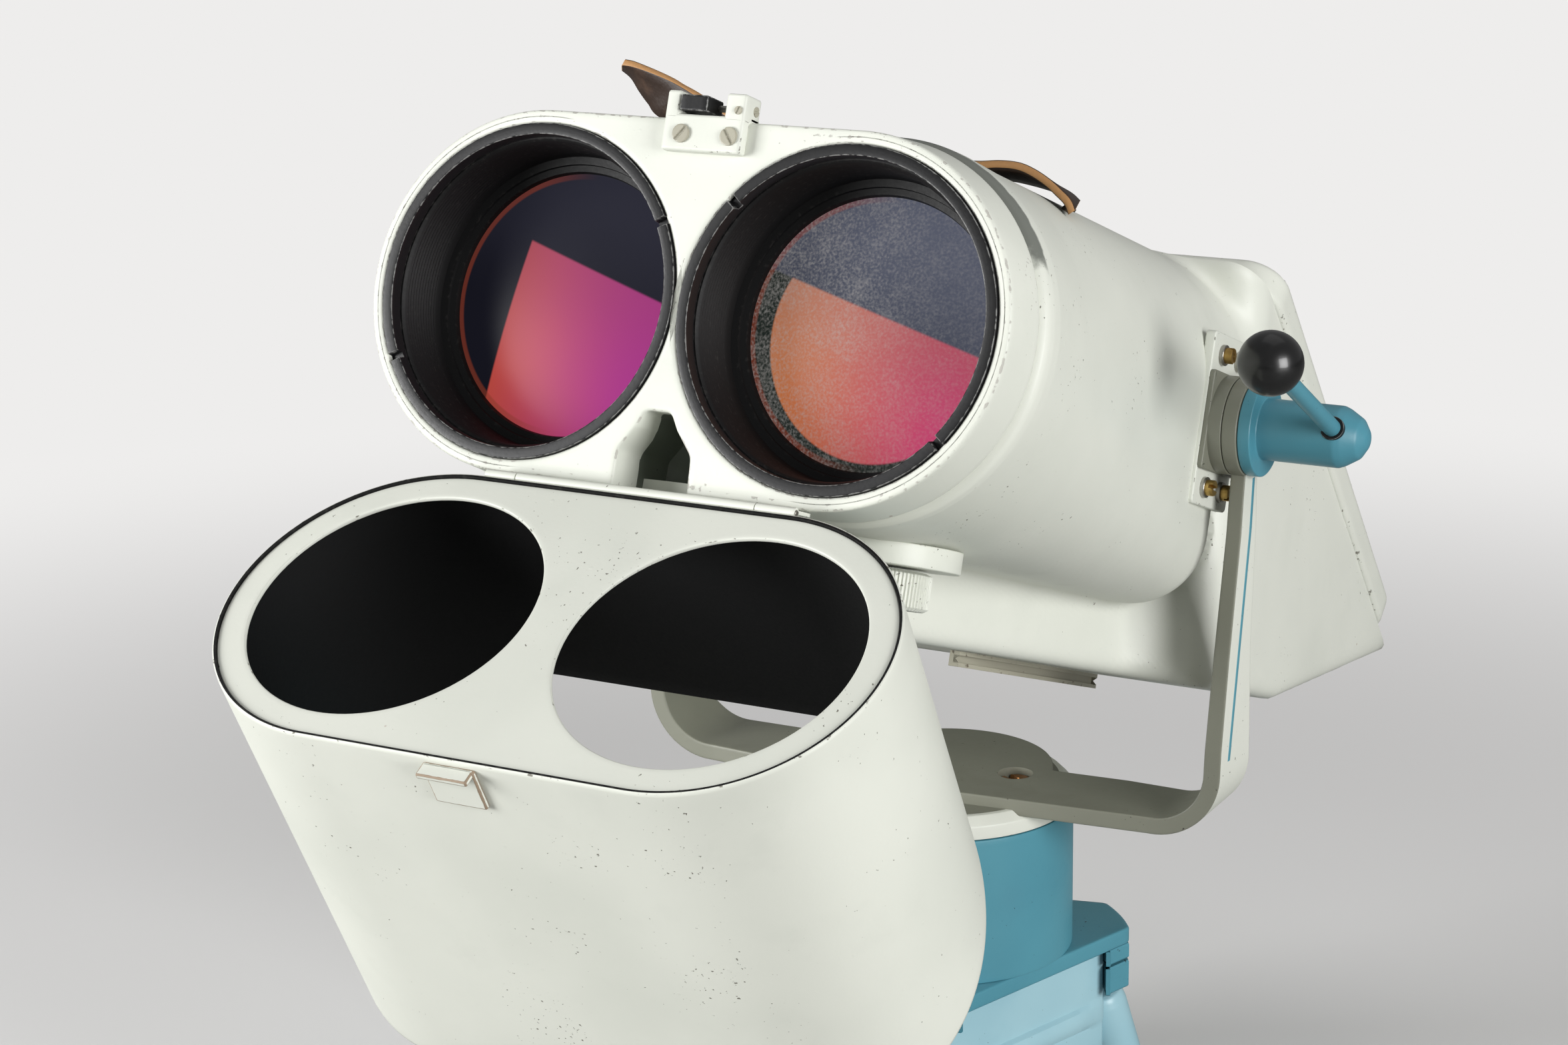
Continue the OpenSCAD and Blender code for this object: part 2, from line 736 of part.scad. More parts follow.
module rear_cover() color(paint) on_cover() difference() {
    translate([0, 0, -cover_t]) linear_extrude(cover_t) plate_2d(2 * (rear_half + rim_over), cover_l, 14);
    for (s = [-1, 1]) translate([s * axis_half, eye_down, -cover_t - 1]) cylinder(r = 20 + run_fit, h = cover_t + 2);
    cover_screw_places() translate([0, 0, -cover_t - 1]) cylinder(r = 2, h = cover_t + 2);
}

module cover_screw_places() {
    for (s = [-1, 1], k = [0:3]) translate([s * (rear_half - 4), 14 + k * (cover_l - 28) / 3, 0]) children();
}

module cover_screws() color(steel) on_cover() cover_screw_places() {
    translate([0, 0, -cover_t]) cylinder(r = 2, h = cover_t);
    slotted_head(3.6, 1.8, 0.9);
}

// Objectives

module bezel(s) color(black) on_body() translate([s * axis_half, 0, 0]) difference() {
    tube_y(bezel_r, -0.8, bezel_l);
    tube_y(bezel_in, -2, bezel_l + 1);
    rotate([0, s > 0 ? 40 : -29, 0]) translate([-60, -2, -1.2]) cube([120, 3.2, 2.4]);
}

module cell(s) color(black) on_body() translate([s * axis_half, 0, 0]) difference() {
    tube_y(cell_r, bezel_l, bezel_l + cell_l);
    tube_y(cell_r - 2.5, bezel_l - 1, lens_back - 4);
    tube_y(lens_r, bezel_l - 1, lens_back + 16);
    tube_y(lens_r - lens_rim, bezel_l, bezel_l + cell_l + 1);
}

// A front lens: a hollow-ground flint behind a bulged crown
module lens(s) color(glass) on_body() translate([s * axis_half, 0, 0]) {
    intersection() {
        translate([0, lens_back - 6 + 250, 0]) sphere(250, $fn = 128);
        tube_y(lens_r, lens_back - 10, lens_back + 6);
    }
    translate([0, 0, 0]) difference() {
        tube_y(lens_r, lens_back + 6.1, lens_back + 13);
        translate([0, lens_back + 10 + 300, 0]) sphere(300, $fn = 128);
    }
}

module lens_rings() color(black) on_body() for (s = [-1, 1]) translate([s * axis_half, 0, 0]) difference() {
    tube_y(lens_r, lens_back + 13, lens_back + 16);
    tube_y(lens_r - lens_rim, lens_back + 12, lens_back + 17);
}

module baffles() color(black) on_body() for (s = [-1, 1]) translate([s * axis_half, 0, 0]) difference() {
    tube_y(cell_r - 2, baffle_y, baffle_y + baffle_t);
    tube_y(light_r - 4, baffle_y - 1, baffle_y + baffle_t + 1);
}

// Prisms that turn the light up to the eyepieces, on the seats that hold them
baffle_y = 110;
baffle_t = 6;
light_r = 36;
prism_y = 318;
prism_low = 30;
prism_half = 22;
seat_half = 24;
seat_l = 38;

module prism(s) color(glass) on_body() translate([s * axis_half, prism_y, 0])
    rotate([90, 0, 90]) translate([0, 0, -prism_half]) linear_extrude(2 * prism_half)
        polygon([[-32, -prism_low], [10, -prism_low], [22, -16.6], [-32, 14.5]]);

module prism_seats() color(dark) on_body() intersection() {
    for (s = [-1, 1]) translate([s * axis_half - seat_half, prism_y - 30, -keel_low])
        cube([2 * seat_half, seat_l, keel_low - prism_low]);
    rear_space();
}

// Latch

spring_z = face_r + 3.4;
spring_l = 1.5;

module latch_block() color(paint) on_body() difference() {
    union() {
        translate([latch_x, -latch_t, latch_foot]) cube([latch_w, latch_t, latch_top - latch_foot]);
        translate([latch_x, -eps, face_r]) cube([latch_w, 7, latch_top - face_r]);
    }
    translate([-6, -latch_t - 1, face_r + 1]) cube([9.5 + latch_travel + spring_l, 12, 12]);
    for (x = latch_screw_x) translate([x, 0, latch_screw_z]) {
        tube_y(1.6, -latch_t - 1, 2);
        tube_y(3.3, -latch_t - 1, 0.8 - latch_t);
    }
    translate([0, 2.6, spring_z]) tube_x(1.2, 0, 20);
}

module latch_bar() color(dark) on_body() {
    translate([-5.8, -latch_t - 1.2, face_r + 1 + run_fit]) cube([9, 10.2, 5]);
}

module latch_spring() color(steel) on_body() translate([0, 2.6, spring_z])
    tube_x(1, 3.2 + run_fit, 3.5 + latch_travel + spring_l - run_fit);

// Fixed hinge leaf, its pin and the screws in the body

module knuckles(r, spans) {
    translate([0, -hinge_out, -hinge_low]) for (p = spans) tube_x(r, p[0], p[1]);
}

fixed_spans = [[-axis_half, 10.5 - axis_half], [axis_half - 12, axis_half + 0.5]];
hood_spans = [[fixed_spans[0][1] + 0.2, fixed_spans[1][0] - 0.2]];

module hinge_leaf() color(paint) on_body() difference() {
    union() {
        knuckles(knuckle_r, fixed_spans);
        for (p = fixed_spans) translate([p[0], -hinge_out, -face_r - 1.2]) cube([p[1] - p[0], hinge_out + 9, 1.2]);
    }
    knuckles(hinge_pin_r, fixed_spans);
}

module hinge_pin() color(steel) on_body() knuckles(hinge_pin_r, [[fixed_spans[0][0], fixed_spans[1][1]]]);

module body_screws() color(steel) on_body() {
    for (x = latch_screw_x) translate([x, 0, latch_screw_z]) {
        tube_y(1.6, -latch_t + 0.8, 0);
        translate([0, 0.8 - latch_t, 0]) rotate([90, 30, 0]) slotted_head(3, 1, 0.8);
    }
    translate([0, 2.6, spring_z]) tube_x(1.2, 4.5 + latch_travel + spring_l, 15);
    rail_holes() rotate([180, 0, 0]) slotted_head(3.5, 1.8, 0.9);
}

// Underside

knob_z = 57.4;

module rail_holes() {
    for (x = [-1, 1], y = [-1, 1]) translate([x * (rail_w / 2 - 12), rail_y + y * (rail_l / 2 - 12), 2 - keel_low - rail_h])
        children();
}

module rail() color(steel) on_body() difference() {
    translate([0, rail_y + rail_l / 2, -keel_low - rail_h]) rotate([90, 0, 0]) linear_extrude(rail_l) difference() {
        translate([-rail_w / 2, 0]) square([rail_w, rail_h]);
        for (s = [0, 1]) mirror([s, 0]) translate([rail_w / 2 - rail_groove, 1.2]) square([rail_groove + 1, rail_h - 2.4]);
    }
    rail_holes() translate([0, 0, -3]) cylinder(r = 3.5, h = 3);
}

module knob_flange() color(paint) on_body() translate([knob_x, knob_y, -knob_z - flange_t]) difference() {
    cylinder(r = flange_r, h = flange_t);
    translate([0, 0, -1]) cylinder(r = 4 + run_fit, h = flange_t + 2);
}

module filter_knob() color(paint) on_body() translate([knob_x, knob_y, -knob_z - flange_t]) {
    translate([0, 0, -knob_h - 1]) cylinder(r = knob_r, h = knob_h);
    translate([0, 0, -1 - eps]) cylinder(r = 4, h = flange_t + 1 - seat);
}

// Strap over the top of the tubes and its lugs

strap_rise = 4.8;
strap_top = swell_r + (body_top - swell_r) * (strap_y - 28) / (pivot_back - 28) + strap_rise;
strap_side = axis_half + 33.5;
strap_half = [[strap_side, strap_top - 13], [strap_side - 9.5, strap_top - 7],
    [strap_side - 24.5, strap_top - 2], [strap_side - 39.5, strap_top]];
strap_path = concat(strap_half, [for (k = [3:-1:0]) [-strap_half[k][0], strap_half[k][1]]]);
tail_steps = [[-11, 2.3], [-3, 3.5], [7, 9], [17, 16.5], [25, 21], [35, 23]];
tail_path = [for (p = tail_steps) [-axis_half - p[0], strap_top + p[1]]];

// The unit normal of a path at a point, to the left of its run from +X to -X
function path_normal(path, k) =
    let (d = path[min(k + 1, len(path) - 1)] - path[max(k - 1, 0)])
    [d[1], -d[0]] / norm(d);

module band(path) {
    polygon(concat(path, [for (k = [len(path) - 1:-1:0]) path[k] + strap_t * path_normal(path, k)]));
}

// Places the two rivets on the strap's feet
module rivet_places() {
    foot = (strap_half[0] + strap_half[1]) / 2;
    lean = atan2(strap_half[0][0] - strap_half[1][0], strap_half[1][1] - strap_half[0][1]);
    for (s = [0, 1]) mirror([s, 0, 0]) translate([foot[0], strap_y, foot[1]]) rotate([0, 90 - lean, 0]) children();
}

module strap() color(leather) on_body() difference() {
    translate([0, strap_y + strap_w / 2, 0]) rotate([90, 0, 0]) linear_extrude(strap_w) {
        band(strap_path);
        band(tail_path);
    }
    rivet_places() translate([0, 0, -5]) cylinder(r = 1.5, h = 12);
}

module strap_rivets() color(brass) on_body() rivet_places() {
    cylinder(r = 1.5, h = strap_t);
    translate([0, 0, strap_t]) cylinder(r = 3, h = 1.2);
}

// Hood, in its closed place before the face

hood_back = hinge_out - 1.3;

module hood_cut() {
    translate([-150, -hood_back - hood_l + hood_arc * cos(hood_lean), hood_arc * sin(hood_lean)])
        rotate([0, 90, 0]) cylinder(r = hood_arc, h = 300, $fn = 128);
}

module hood_shell() color(paint) on_hood() intersection() {
    difference() {
        twin(hood_r, -hood_back - 160, -hood_back);
        twin(hood_r - hood_wall, -hood_back - 162, -hood_back + 1);
    }
    hood_cut();
}

module hood_plate() color(paint) on_hood() difference() {
    twin(hood_r - hood_wall, -hood_back - 0.7 - hood_plate_t, -hood_back - 0.7);
    for (s = [-1, 1]) translate([s * axis_half, 0, 0]) tube_y(hood_hole_r, -hood_back - 5, -hood_back + 1);
}

module hood_leaf() color(paint) on_hood() difference() {
    union() {
        knuckles(knuckle_r, hood_spans);
        translate([hood_spans[0][0], -hinge_out - 12, -hood_r - 1.2])
            cube([hood_spans[0][1] - hood_spans[0][0], 12, 1.2]);
    }
    knuckles(hinge_pin_r + run_fit, [[-60, 60]]);
}

module hood_catch() color(paint) on_hood() {
    translate([-10.5, -hood_back - 16, hood_r]) cube([16.5, 14, 1.6]);
    translate([-10.5, -hood_back - 3.2, hood_r]) cube([16.5, 1.6, 5]);
}

// Eyepieces

module on_swing(s) {
    on_cover() translate([s * axis_half, eye_down, 0]) children();
}

module on_eye(s) {
    on_swing(s) translate([-s * eye_offset * cos(eye_swing), -eye_offset * sin(eye_swing), 0]) children();
}

module swing(s) color(paint) difference() {
    union() {
        on_swing(s) translate([0, 0, -cover_t]) cylinder(r = swivel_r, h = cover_t + seat + eps);
        on_swing(s) translate([0, 0, seat]) cylinder(r = swing_r, h = swing_h);
        on_eye(s) translate([0, 0, seat]) cylinder(r = swing_r, h = swing_h);
        on_swing(s) rotate([0, 0, s > 0 ? 180 + eye_swing : -eye_swing])
            translate([0, bridge_set - swing_r, seat + bridge_set])
                cube([eye_offset, 2 * (swing_r - bridge_set), swing_h - 2 * bridge_set]);
    }
    on_swing(s) translate([0, 0, -cover_t - 1]) cylinder(r = swivel_bore, h = cover_t + swing_h - 4);
    on_eye(s) translate([0, 0, 5]) cylinder(r = swivel_bore - 0.5, h = swing_h + 5);
}

module eyepiece(s) color(black) on_eye(s) translate([0, 0, swing_h + seat]) difference() {
    cylinder(r = eye_r, h = eye_l);
    translate([0, 0, -1]) cylinder(r = eye_bore, h = eye_l + 2);
}

module focus(s) color(black) on_eye(s) translate([0, 0, swing_h + seat + 3]) difference() {
    cylinder(r = focus_r, h = focus_l);
    translate([0, 0, -1]) cylinder(r = eye_r + run_fit, h = eye_l);
}

module eyecup(s) color(dark) on_eye(s) translate([0, 0, swing_h + seat + eye_l]) difference() {
    cylinder(r1 = eye_r, r2 = eye_r + 3, h = cup_l);
    translate([0, 0, -1]) cylinder(r1 = eye_bore, r2 = eye_r + 1, h = cup_l + 2);
}

module eye_lens(s) color(glass) on_eye(s) intersection() {
    translate([0, 0, swing_h + eye_l - 8]) cylinder(r = eye_bore, h = 6);
    translate([0, 0, swing_h + eye_l - 3 - lens_curve]) sphere(lens_curve, $fn = 96);
}

tripod_crown();
crown_screws();
base_plate();
column();
column_screws();
bush_lower();
bush_upper();
clamp_jaw();
yoke();
yoke_inlay();
rim_ring();
yoke_screws();
spindle();
spindle_nut();
trunnion_cap();
clamp_sleeve();
lever_rod();
lever_ball();
housing();
rear_cover();
cover_screws();
bezel(-1);  // bezel_left
bezel(1);  // bezel_right
cell(-1);  // cell_left
cell(1);  // cell_right
lens(-1);  // lens_left
lens(1);  // lens_right
lens_rings();
baffles();
prism(-1);  // prism_left
prism(1);  // prism_right
prism_seats();
trunnion_plates();
trunnion_fixings();
pivots();
latch_block();
body_screws();
hinge_leaf();
hinge_pin();
strap();
strap_rivets();
rail();
knob_flange();
filter_knob();
latch_bar();
latch_spring();
hood_shell();
hood_plate();
hood_leaf();
hood_catch();
swing(-1);  // swing_left
swing(1);  // swing_right
eyepiece(-1);  // eyepiece_left
eyepiece(1);  // eyepiece_right
focus(-1);  // focus_left
focus(1);  // focus_right
eyecup(-1);  // eyecup_left
eyecup(1);  // eyecup_right
eye_lens(-1);  // eye_lens_left
eye_lens(1);  // eye_lens_right
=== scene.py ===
import json
import math

import bmesh
import bpy
import numpy as np
from mathutils import Matrix, Vector
from mathutils.geometry import tessellate_polygon


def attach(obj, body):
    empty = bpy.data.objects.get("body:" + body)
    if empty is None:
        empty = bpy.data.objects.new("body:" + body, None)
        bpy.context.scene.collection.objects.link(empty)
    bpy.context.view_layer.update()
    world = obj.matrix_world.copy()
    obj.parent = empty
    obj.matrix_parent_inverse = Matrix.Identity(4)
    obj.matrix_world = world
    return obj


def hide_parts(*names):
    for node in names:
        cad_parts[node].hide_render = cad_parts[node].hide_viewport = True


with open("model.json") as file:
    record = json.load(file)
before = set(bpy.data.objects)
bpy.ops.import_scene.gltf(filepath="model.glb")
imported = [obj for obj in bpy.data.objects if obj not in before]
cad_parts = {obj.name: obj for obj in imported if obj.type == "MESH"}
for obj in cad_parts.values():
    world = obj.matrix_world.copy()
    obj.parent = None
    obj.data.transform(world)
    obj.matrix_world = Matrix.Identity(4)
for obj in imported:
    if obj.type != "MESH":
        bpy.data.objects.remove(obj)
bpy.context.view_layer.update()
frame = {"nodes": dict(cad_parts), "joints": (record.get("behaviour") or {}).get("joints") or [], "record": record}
slot_of = {part["node"]: part["material_slot"] for part in frame["record"]["subparts"]}

# The casting holds both tubes, the keel and the prism housing. It is light
# alloy under thick pale enamel, sprayed on with an orange-peel grain. Its
# forms run into each other in fillets, as they do on a founder's pattern.

MM = 0.001
FRONT_UP = math.radians(20)
PIVOT_BACK = 188.0
AXIS_HALF = 51.0
COLLAR_BACK, RIDGE_BACK, BARREL_END = 17.0, 28.0, 212.0
KEEL_LOW = -85.0
HOUSING_TOP, HOUSING_HALF, HOUSING_FRONT = 61.5, 95.0, 221.0
FAN_BACK, FAN_TOP = 206.7, 63.0
tilt_axis = next(np.array(joint["pos_m"]) / MM for joint in frame["joints"] if joint["name"] == "tilt")
PIVOT_Z = tilt_axis[2]


def tilted(points):
    """Body frame (mm: x across, y back from the face, z up) to row frame in metres: turned by FRONT_UP
    about the trunnion axis, y' = y cos + z sin and z' = z cos - y sin."""
    points = np.asarray(points, float)
    y, z = points[..., 1] - PIVOT_BACK, points[..., 2]
    cos, sin = math.cos(FRONT_UP), math.sin(FRONT_UP)
    return (np.stack([points[..., 0], y * cos + z * sin, z * cos - y * sin], -1) + tilt_axis) * MM


def upright(points):
    """Row frame in mm to row frame in metres."""
    return np.asarray(points, float) * MM


def srgb(red, green, blue):
    """A colour as the eye sees it, 0 to 255, in the linear values that a shader takes."""
    seen = np.array([red, green, blue]) / 255
    linear = np.where(seen <= 0.04045, seen / 12.92, ((seen + 0.055) / 1.055) ** 2.4)
    return (*linear.tolist(), 1.0)


class Field:
    """A number that varies over a surface. Operators on it add Math nodes to its tree."""

    def __init__(self, shading, socket):
        self.shading, self.socket = shading, socket

    def math(self, operation, first, second):
        return self.shading.node("ShaderNodeMath", {"operation": operation}, {0: first, 1: second})

    def __add__(self, other):
        return self.math("ADD", self, other)

    def __sub__(self, other):
        return self.math("SUBTRACT", self, other)

    def __rsub__(self, other):
        return self.math("SUBTRACT", other, self)

    def __mul__(self, other):
        return self.math("MULTIPLY", self, other)

    def __truediv__(self, other):
        return self.math("DIVIDE", self, other)

    __radd__, __rmul__ = __add__, __mul__

    def root(self):
        return self.math("POWER", self, 0.5)

    def or_more(self, other):
        return self.math("MAXIMUM", self, other)

    def step(self, low, high):
        """0 below low and 1 above high, with a smooth rise between; reversed where low is above high."""
        return self.shading.node("ShaderNodeMapRange", {"interpolation_type": "SMOOTHSTEP"},
                                 {"Value": self, "From Min": low, "From Max": high})


class Shading:
    """The node tree of a material or a world."""

    def __init__(self, owner):
        owner.use_nodes = True
        self.tree = owner.node_tree

    def node(self, kind, settings, inputs, output=0):
        """Adds any node, with its settings first and then its inputs."""
        added = self.tree.nodes.new(kind)
        for key, value in settings.items():
            setattr(added, key, value)
        for key, value in inputs.items():
            self.feed(added.inputs[key], value)
        return Field(self, added.outputs[output])

    def feed(self, socket, value):
        if isinstance(value, Field):
            self.tree.links.new(value.socket, socket)
        else:
            socket.default_value = value


class Finish(Shading):
    """A material with noise, places and colours to build it from."""

    def __init__(self, name, metallic=0.0, coat=0.0, specular=0.5):
        self.material = bpy.data.materials.new(name)
        super().__init__(self.material)
        self.shader = self.tree.nodes["Principled BSDF"]
        for key, value in (("Metallic", metallic), ("Coat Weight", coat), ("Specular IOR Level", specular)):
            self.shader.inputs[key].default_value = value
        self.place = self.node("ShaderNodeTexCoord", {}, {}, "Object")

    def noise(self, size, detail=2.0, seed=0.0, stretch=(1, 1, 1)):
        """Cloudy noise about 0.5 whose lumps are about size mm across."""
        at = self.node("ShaderNodeMapping", {}, {"Vector": self.place, "Scale": stretch})
        return self.node("ShaderNodeTexNoise", {"noise_dimensions": "4D"},
                         {"Vector": at, "W": seed, "Scale": 1 / (size * MM), "Detail": detail})

    def cells(self, size, seed=0.0):
        """Distance to the nearest of scattered points, about size mm apart, as a share of size."""
        return self.node("ShaderNodeTexVoronoi", {"voronoi_dimensions": "4D"},
                         {"Vector": self.place, "W": seed, "Scale": 1 / (size * MM)})

    def along(self, way, start=0.0):
        """How far the point lies along a direction in the row frame, in mm past a start."""
        dot = self.node("ShaderNodeVectorMath", {"operation": "DOT_PRODUCT"}, {0: self.place, 1: way}, 1)
        return dot / MM - start

    def body_place(self):
        """The point in the body frame, in mm, as three numbers."""
        back = (0, math.cos(FRONT_UP), -math.sin(FRONT_UP))
        up = (0, math.sin(FRONT_UP), math.cos(FRONT_UP))
        return (self.along((1, 0, 0)), self.along(back, float(tilt_axis @ back) - PIVOT_BACK),
                self.along(up, float(tilt_axis @ up)))

    def mark(self, name):
        """A value that the mesh holds: 'edge' is 1 along outer corners, 'cut' along cut sides."""
        return self.node("ShaderNodeAttribute", {"attribute_name": name}, {}, "Fac")

    def mix(self, share, first, second):
        return self.node("ShaderNodeMix", {"data_type": "RGBA"}, {0: share, 6: first, 7: second}, 2)

    def bump(self, height):
        """A Bump node whose height is in mm."""
        return self.node("ShaderNodeBump", {}, {"Height": height, "Distance": MM, "Strength": 1.0})

    def finished(self, colour, roughness, normal=None):
        self.feed(self.shader.inputs["Base Color"], colour)
        self.feed(self.shader.inputs["Roughness"], roughness)
        if normal:
            self.feed(self.shader.inputs["Normal"], normal)
        return self.material


def enamel(name, coat, shade, bare, grain=0.035, pimples=0.05, wear=0.26, rust=0.6, gloss=0.38, marks=None):
    """Sprayed enamel: clouded colour, orange peel, dust pimples, worn corners, chips and rust specks. marks
    may add to the colour."""
    paint = Finish(name, specular=0.45)
    cloud = paint.noise(70, 3, 1.0).step(0.35, 0.7)
    grime = paint.noise(22, 5, 2.0).step(0.52, 0.78)
    colour = paint.mix(cloud * 0.5, coat, shade)
    colour = paint.mix(grime * 0.35, colour, shade)
    ragged = paint.noise(2.2, 4, 3.0)
    worn = (paint.mark("edge") * wear + ragged).step(0.86, 0.93)
    pits = (paint.noise(1.1, 3, 4.0) + paint.noise(30, 2, 5.0) * 0.35).step(0.905, 0.93)
    chips = worn.or_more(pits)
    colour = paint.mix(chips, colour, bare)
    speck = paint.cells(11, 6.0).step(0.075, 0.045) * paint.noise(24, 1, 7.0).step(0.55, 0.62) * rust
    colour = paint.mix(speck, colour, srgb(132, 74, 38))
    if marks:
        colour = marks(paint, colour)
    peel = paint.noise(1.6, 2, 8.0) * grain
    dust = paint.cells(4.2, 9.0).step(0.2, 0.05) * paint.noise(14, 1, 10.0).step(0.42, 0.6) * pimples
    rough = gloss + grime * 0.14 + chips * 0.2 + ragged * 0.1
    return paint.finished(colour, rough, paint.bump(peel + dust - chips * 0.08))


def groove_mark(paint, colour):
    """A darker grey-green band with ragged edges over the top of the turned groove behind the collar; lower down the
    groove keeps the body colour.
    """
    _, back, up = paint.body_place()
    ragged = paint.noise(5, 4, 11.0) * 3 - 1.5
    within = (back + ragged).step(16.6, 17.3) * (back + ragged * 0.8).step(24.2, 23.0)
    return paint.mix(within * (up + ragged * 6).step(20, 27) * 0.85, colour, srgb(74, 78, 72))


PALE_TONES = srgb(222, 224, 214), srgb(204, 207, 197), srgb(124, 122, 112)
PALE = enamel("pale_enamel", *PALE_TONES)
CAST = enamel("cast_enamel", *PALE_TONES, wear=0.1, marks=groove_mark)


def grid_quads(rows, columns, loop_rows, loop_columns):
    """The quads between neighbouring points of a grid, closed on itself where a loop is asked for."""
    r = np.arange(rows if loop_rows else rows - 1)[:, None]
    c = np.arange(columns if loop_columns else columns - 1)[None, :]
    below, right = (r + 1) % rows, (c + 1) % columns
    corners = [r * columns + c, below * columns + c, below * columns + right, r * columns + right]
    return np.stack(corners, -1).reshape(-1, 4)


def mark_edges(mesh):
    """Writes the 'edge' attribute: the angle by which the two faces at an edge turn outwards, eased from
    9 to 26 degrees, and the largest of these at each vertex."""
    count = len(mesh.loops)
    edge_of, starts = np.zeros(count, int), np.zeros(len(mesh.polygons), int)
    mesh.loops.foreach_get("edge_index", edge_of)
    mesh.polygons.foreach_get("loop_start", starts)
    face_of = np.searchsorted(starts, np.arange(count), side="right") - 1
    centre, normal = np.zeros((2, len(starts), 3))
    mesh.polygons.foreach_get("center", centre.ravel())
    mesh.polygons.foreach_get("normal", normal.ravel())
    order = np.argsort(edge_of, kind="stable")
    same = np.flatnonzero(edge_of[order][1:] == edge_of[order][:-1])
    first, second = face_of[order[same]], face_of[order[same + 1]]
    turn = np.degrees(np.arccos(np.clip((normal[first] * normal[second]).sum(1), -1, 1)))
    outwards = ((centre[second] - centre[first]) * normal[first]).sum(1) < 0
    ease = np.clip((turn - 9) / 17, 0, 1) * outwards
    ends = np.zeros((len(mesh.edges), 2), int)
    mesh.edges.foreach_get("vertices", ends.ravel())
    most = np.zeros(len(mesh.vertices))
    np.maximum.at(most, ends[edge_of[order[same]]].ravel(), np.repeat(ease, 2))
    mesh.attributes.new("edge", "FLOAT", "POINT").data.foreach_set("value", most.astype(np.float32))


def settle(mesh, sharp):
    """Smooths the faces up to the sharp angle and marks the corners."""
    mesh.polygons.foreach_set("use_smooth", np.ones(len(mesh.polygons), bool))
    mesh.set_sharp_from_angle(angle=math.radians(sharp))
    mark_edges(mesh)


def woven(name, grids, place, loops=(False, True), caps=()):
    """A mesh from grids of points (rows, columns, 3), each looped along its rows or columns, and further
    faces between the points."""
    starts = np.cumsum([0, *(grid[..., 0].size for grid in grids)])
    quads = [grid_quads(*grid.shape[:2], *loops) + start for grid, start in zip(grids, starts)]
    mesh = bpy.data.meshes.new(name)
    points = place(np.concatenate([grid.reshape(-1, 3) for grid in grids]))
    mesh.from_pydata(points.tolist(), [], np.concatenate(quads).tolist() + list(caps))
    return mesh


def shut(mesh):
    """Merges doubles and turns faces outwards, so that seams and poles are closed."""
    shell = bmesh.new()
    shell.from_mesh(mesh)
    bmesh.ops.remove_doubles(shell, verts=shell.verts, dist=2e-6)
    bmesh.ops.dissolve_degenerate(shell, edges=shell.edges, dist=1e-7)
    bmesh.ops.recalc_face_normals(shell, faces=shell.faces)
    shell.to_mesh(mesh)
    shell.free()


def skin(name, grids, place, finishes, body, node=None, sharp=32, loops=(False, True), caps=(),
         inner=(), cut=None):
    """A piece at the origin that moves with its body and, where a node is given, stands for that node, whose
    imported part it hides. inner names the rows of the first grid that take the second finish; cut is written
    as a value for each point."""
    mesh = woven(name, grids, place, loops, caps)
    if len(inner):
        row = np.arange(len(mesh.polygons)) // (grids[0].shape[1] - (not loops[1]))
        mesh.polygons.foreach_set("material_index", np.isin(row, inner).astype(np.int32))
    if cut is not None:
        mesh.attributes.new("cut", "FLOAT", "POINT").data.foreach_set("value", cut.astype(np.float32))
    shut(mesh)
    settle(mesh, sharp)
    for finish in finishes:
        mesh.materials.append(finish)
    made = bpy.data.objects.new(name, mesh)
    bpy.context.scene.collection.objects.link(made)
    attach(made, body)
    if node:
        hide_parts(node)
    return made


def smooth_union(first, second, width):
    """The nearer of two distances, with a fillet of that width where they meet."""
    share = np.clip(0.5 + 0.5 * (second - first) / width, 0, 1)
    return second + (first - second) * share - width * share * (1 - share)


def rounded_cut(first, second, radius):
    """What lies inside both forms, with a round shoulder of that radius where they meet."""
    a, b = first + radius, second + radius
    return np.hypot(np.maximum(a, 0), np.maximum(b, 0)) + np.minimum(np.maximum(a, b), 0) - radius


def casting_distance(x, y, z):
    """Signed distance to the casting, in mm: a tapered twin barrel, a keel that widens to the rear and a
    wedge-shaped prism housing, each a set of planes and round shoulders, run together in fillets."""
    x = np.abs(x)
    back = np.clip((y - RIDGE_BACK) / (PIVOT_BACK - RIDGE_BACK), 0, 1.15)
    swell = np.interp(y, [17, 19, 20, 21.5, 24, 28], [53.3, 53.3, 55.6, 56.6, 57, 57.1])
    half = AXIS_HALF + swell - 11 * back
    top, low = swell + 1.5 * back, -swell - 4 * back
    middle, tall = (top + low) / 2, (top - low) / 2
    corner = np.where(z > middle, np.minimum(swell + 2 - 10 * back, tall), swell - 29 * back)
    barrel = rounded_cut(x - half, np.abs(z - middle) - tall, corner)
    barrel = rounded_cut(barrel, y - BARREL_END - 1.4 * np.maximum(z + 25, 0), 15)
    keel_half = 26 + (np.clip(y, 60, 222) - 97) * 0.373
    keel = np.maximum(rounded_cut(x - keel_half, 62 - y, 12), z + 40)
    shoulder = smooth_union(HOUSING_FRONT - y, -((y - 213) * 0.712 + (z - HOUSING_TOP) * 0.702), 16)
    wedge = rounded_cut(rounded_cut(shoulder, z - HOUSING_TOP, 10), x - HOUSING_HALF, 12)
    joined = smooth_union(barrel, smooth_union(keel, wedge, 26), 5)
    floor = np.maximum(KEEL_LOW - z, (KEEL_LOW + 0.2127 * (y - 297) - z) * 0.978)
    return rounded_cut(joined, floor, 5)


def capped(grid):
    """The rows of a tube, with a further row at each end that is drawn in to a point."""
    ends = [np.broadcast_to(end.mean(0), (1, *end.shape)) for end in (grid[0], grid[-1])]
    return np.concatenate([ends[0], grid, ends[1]])


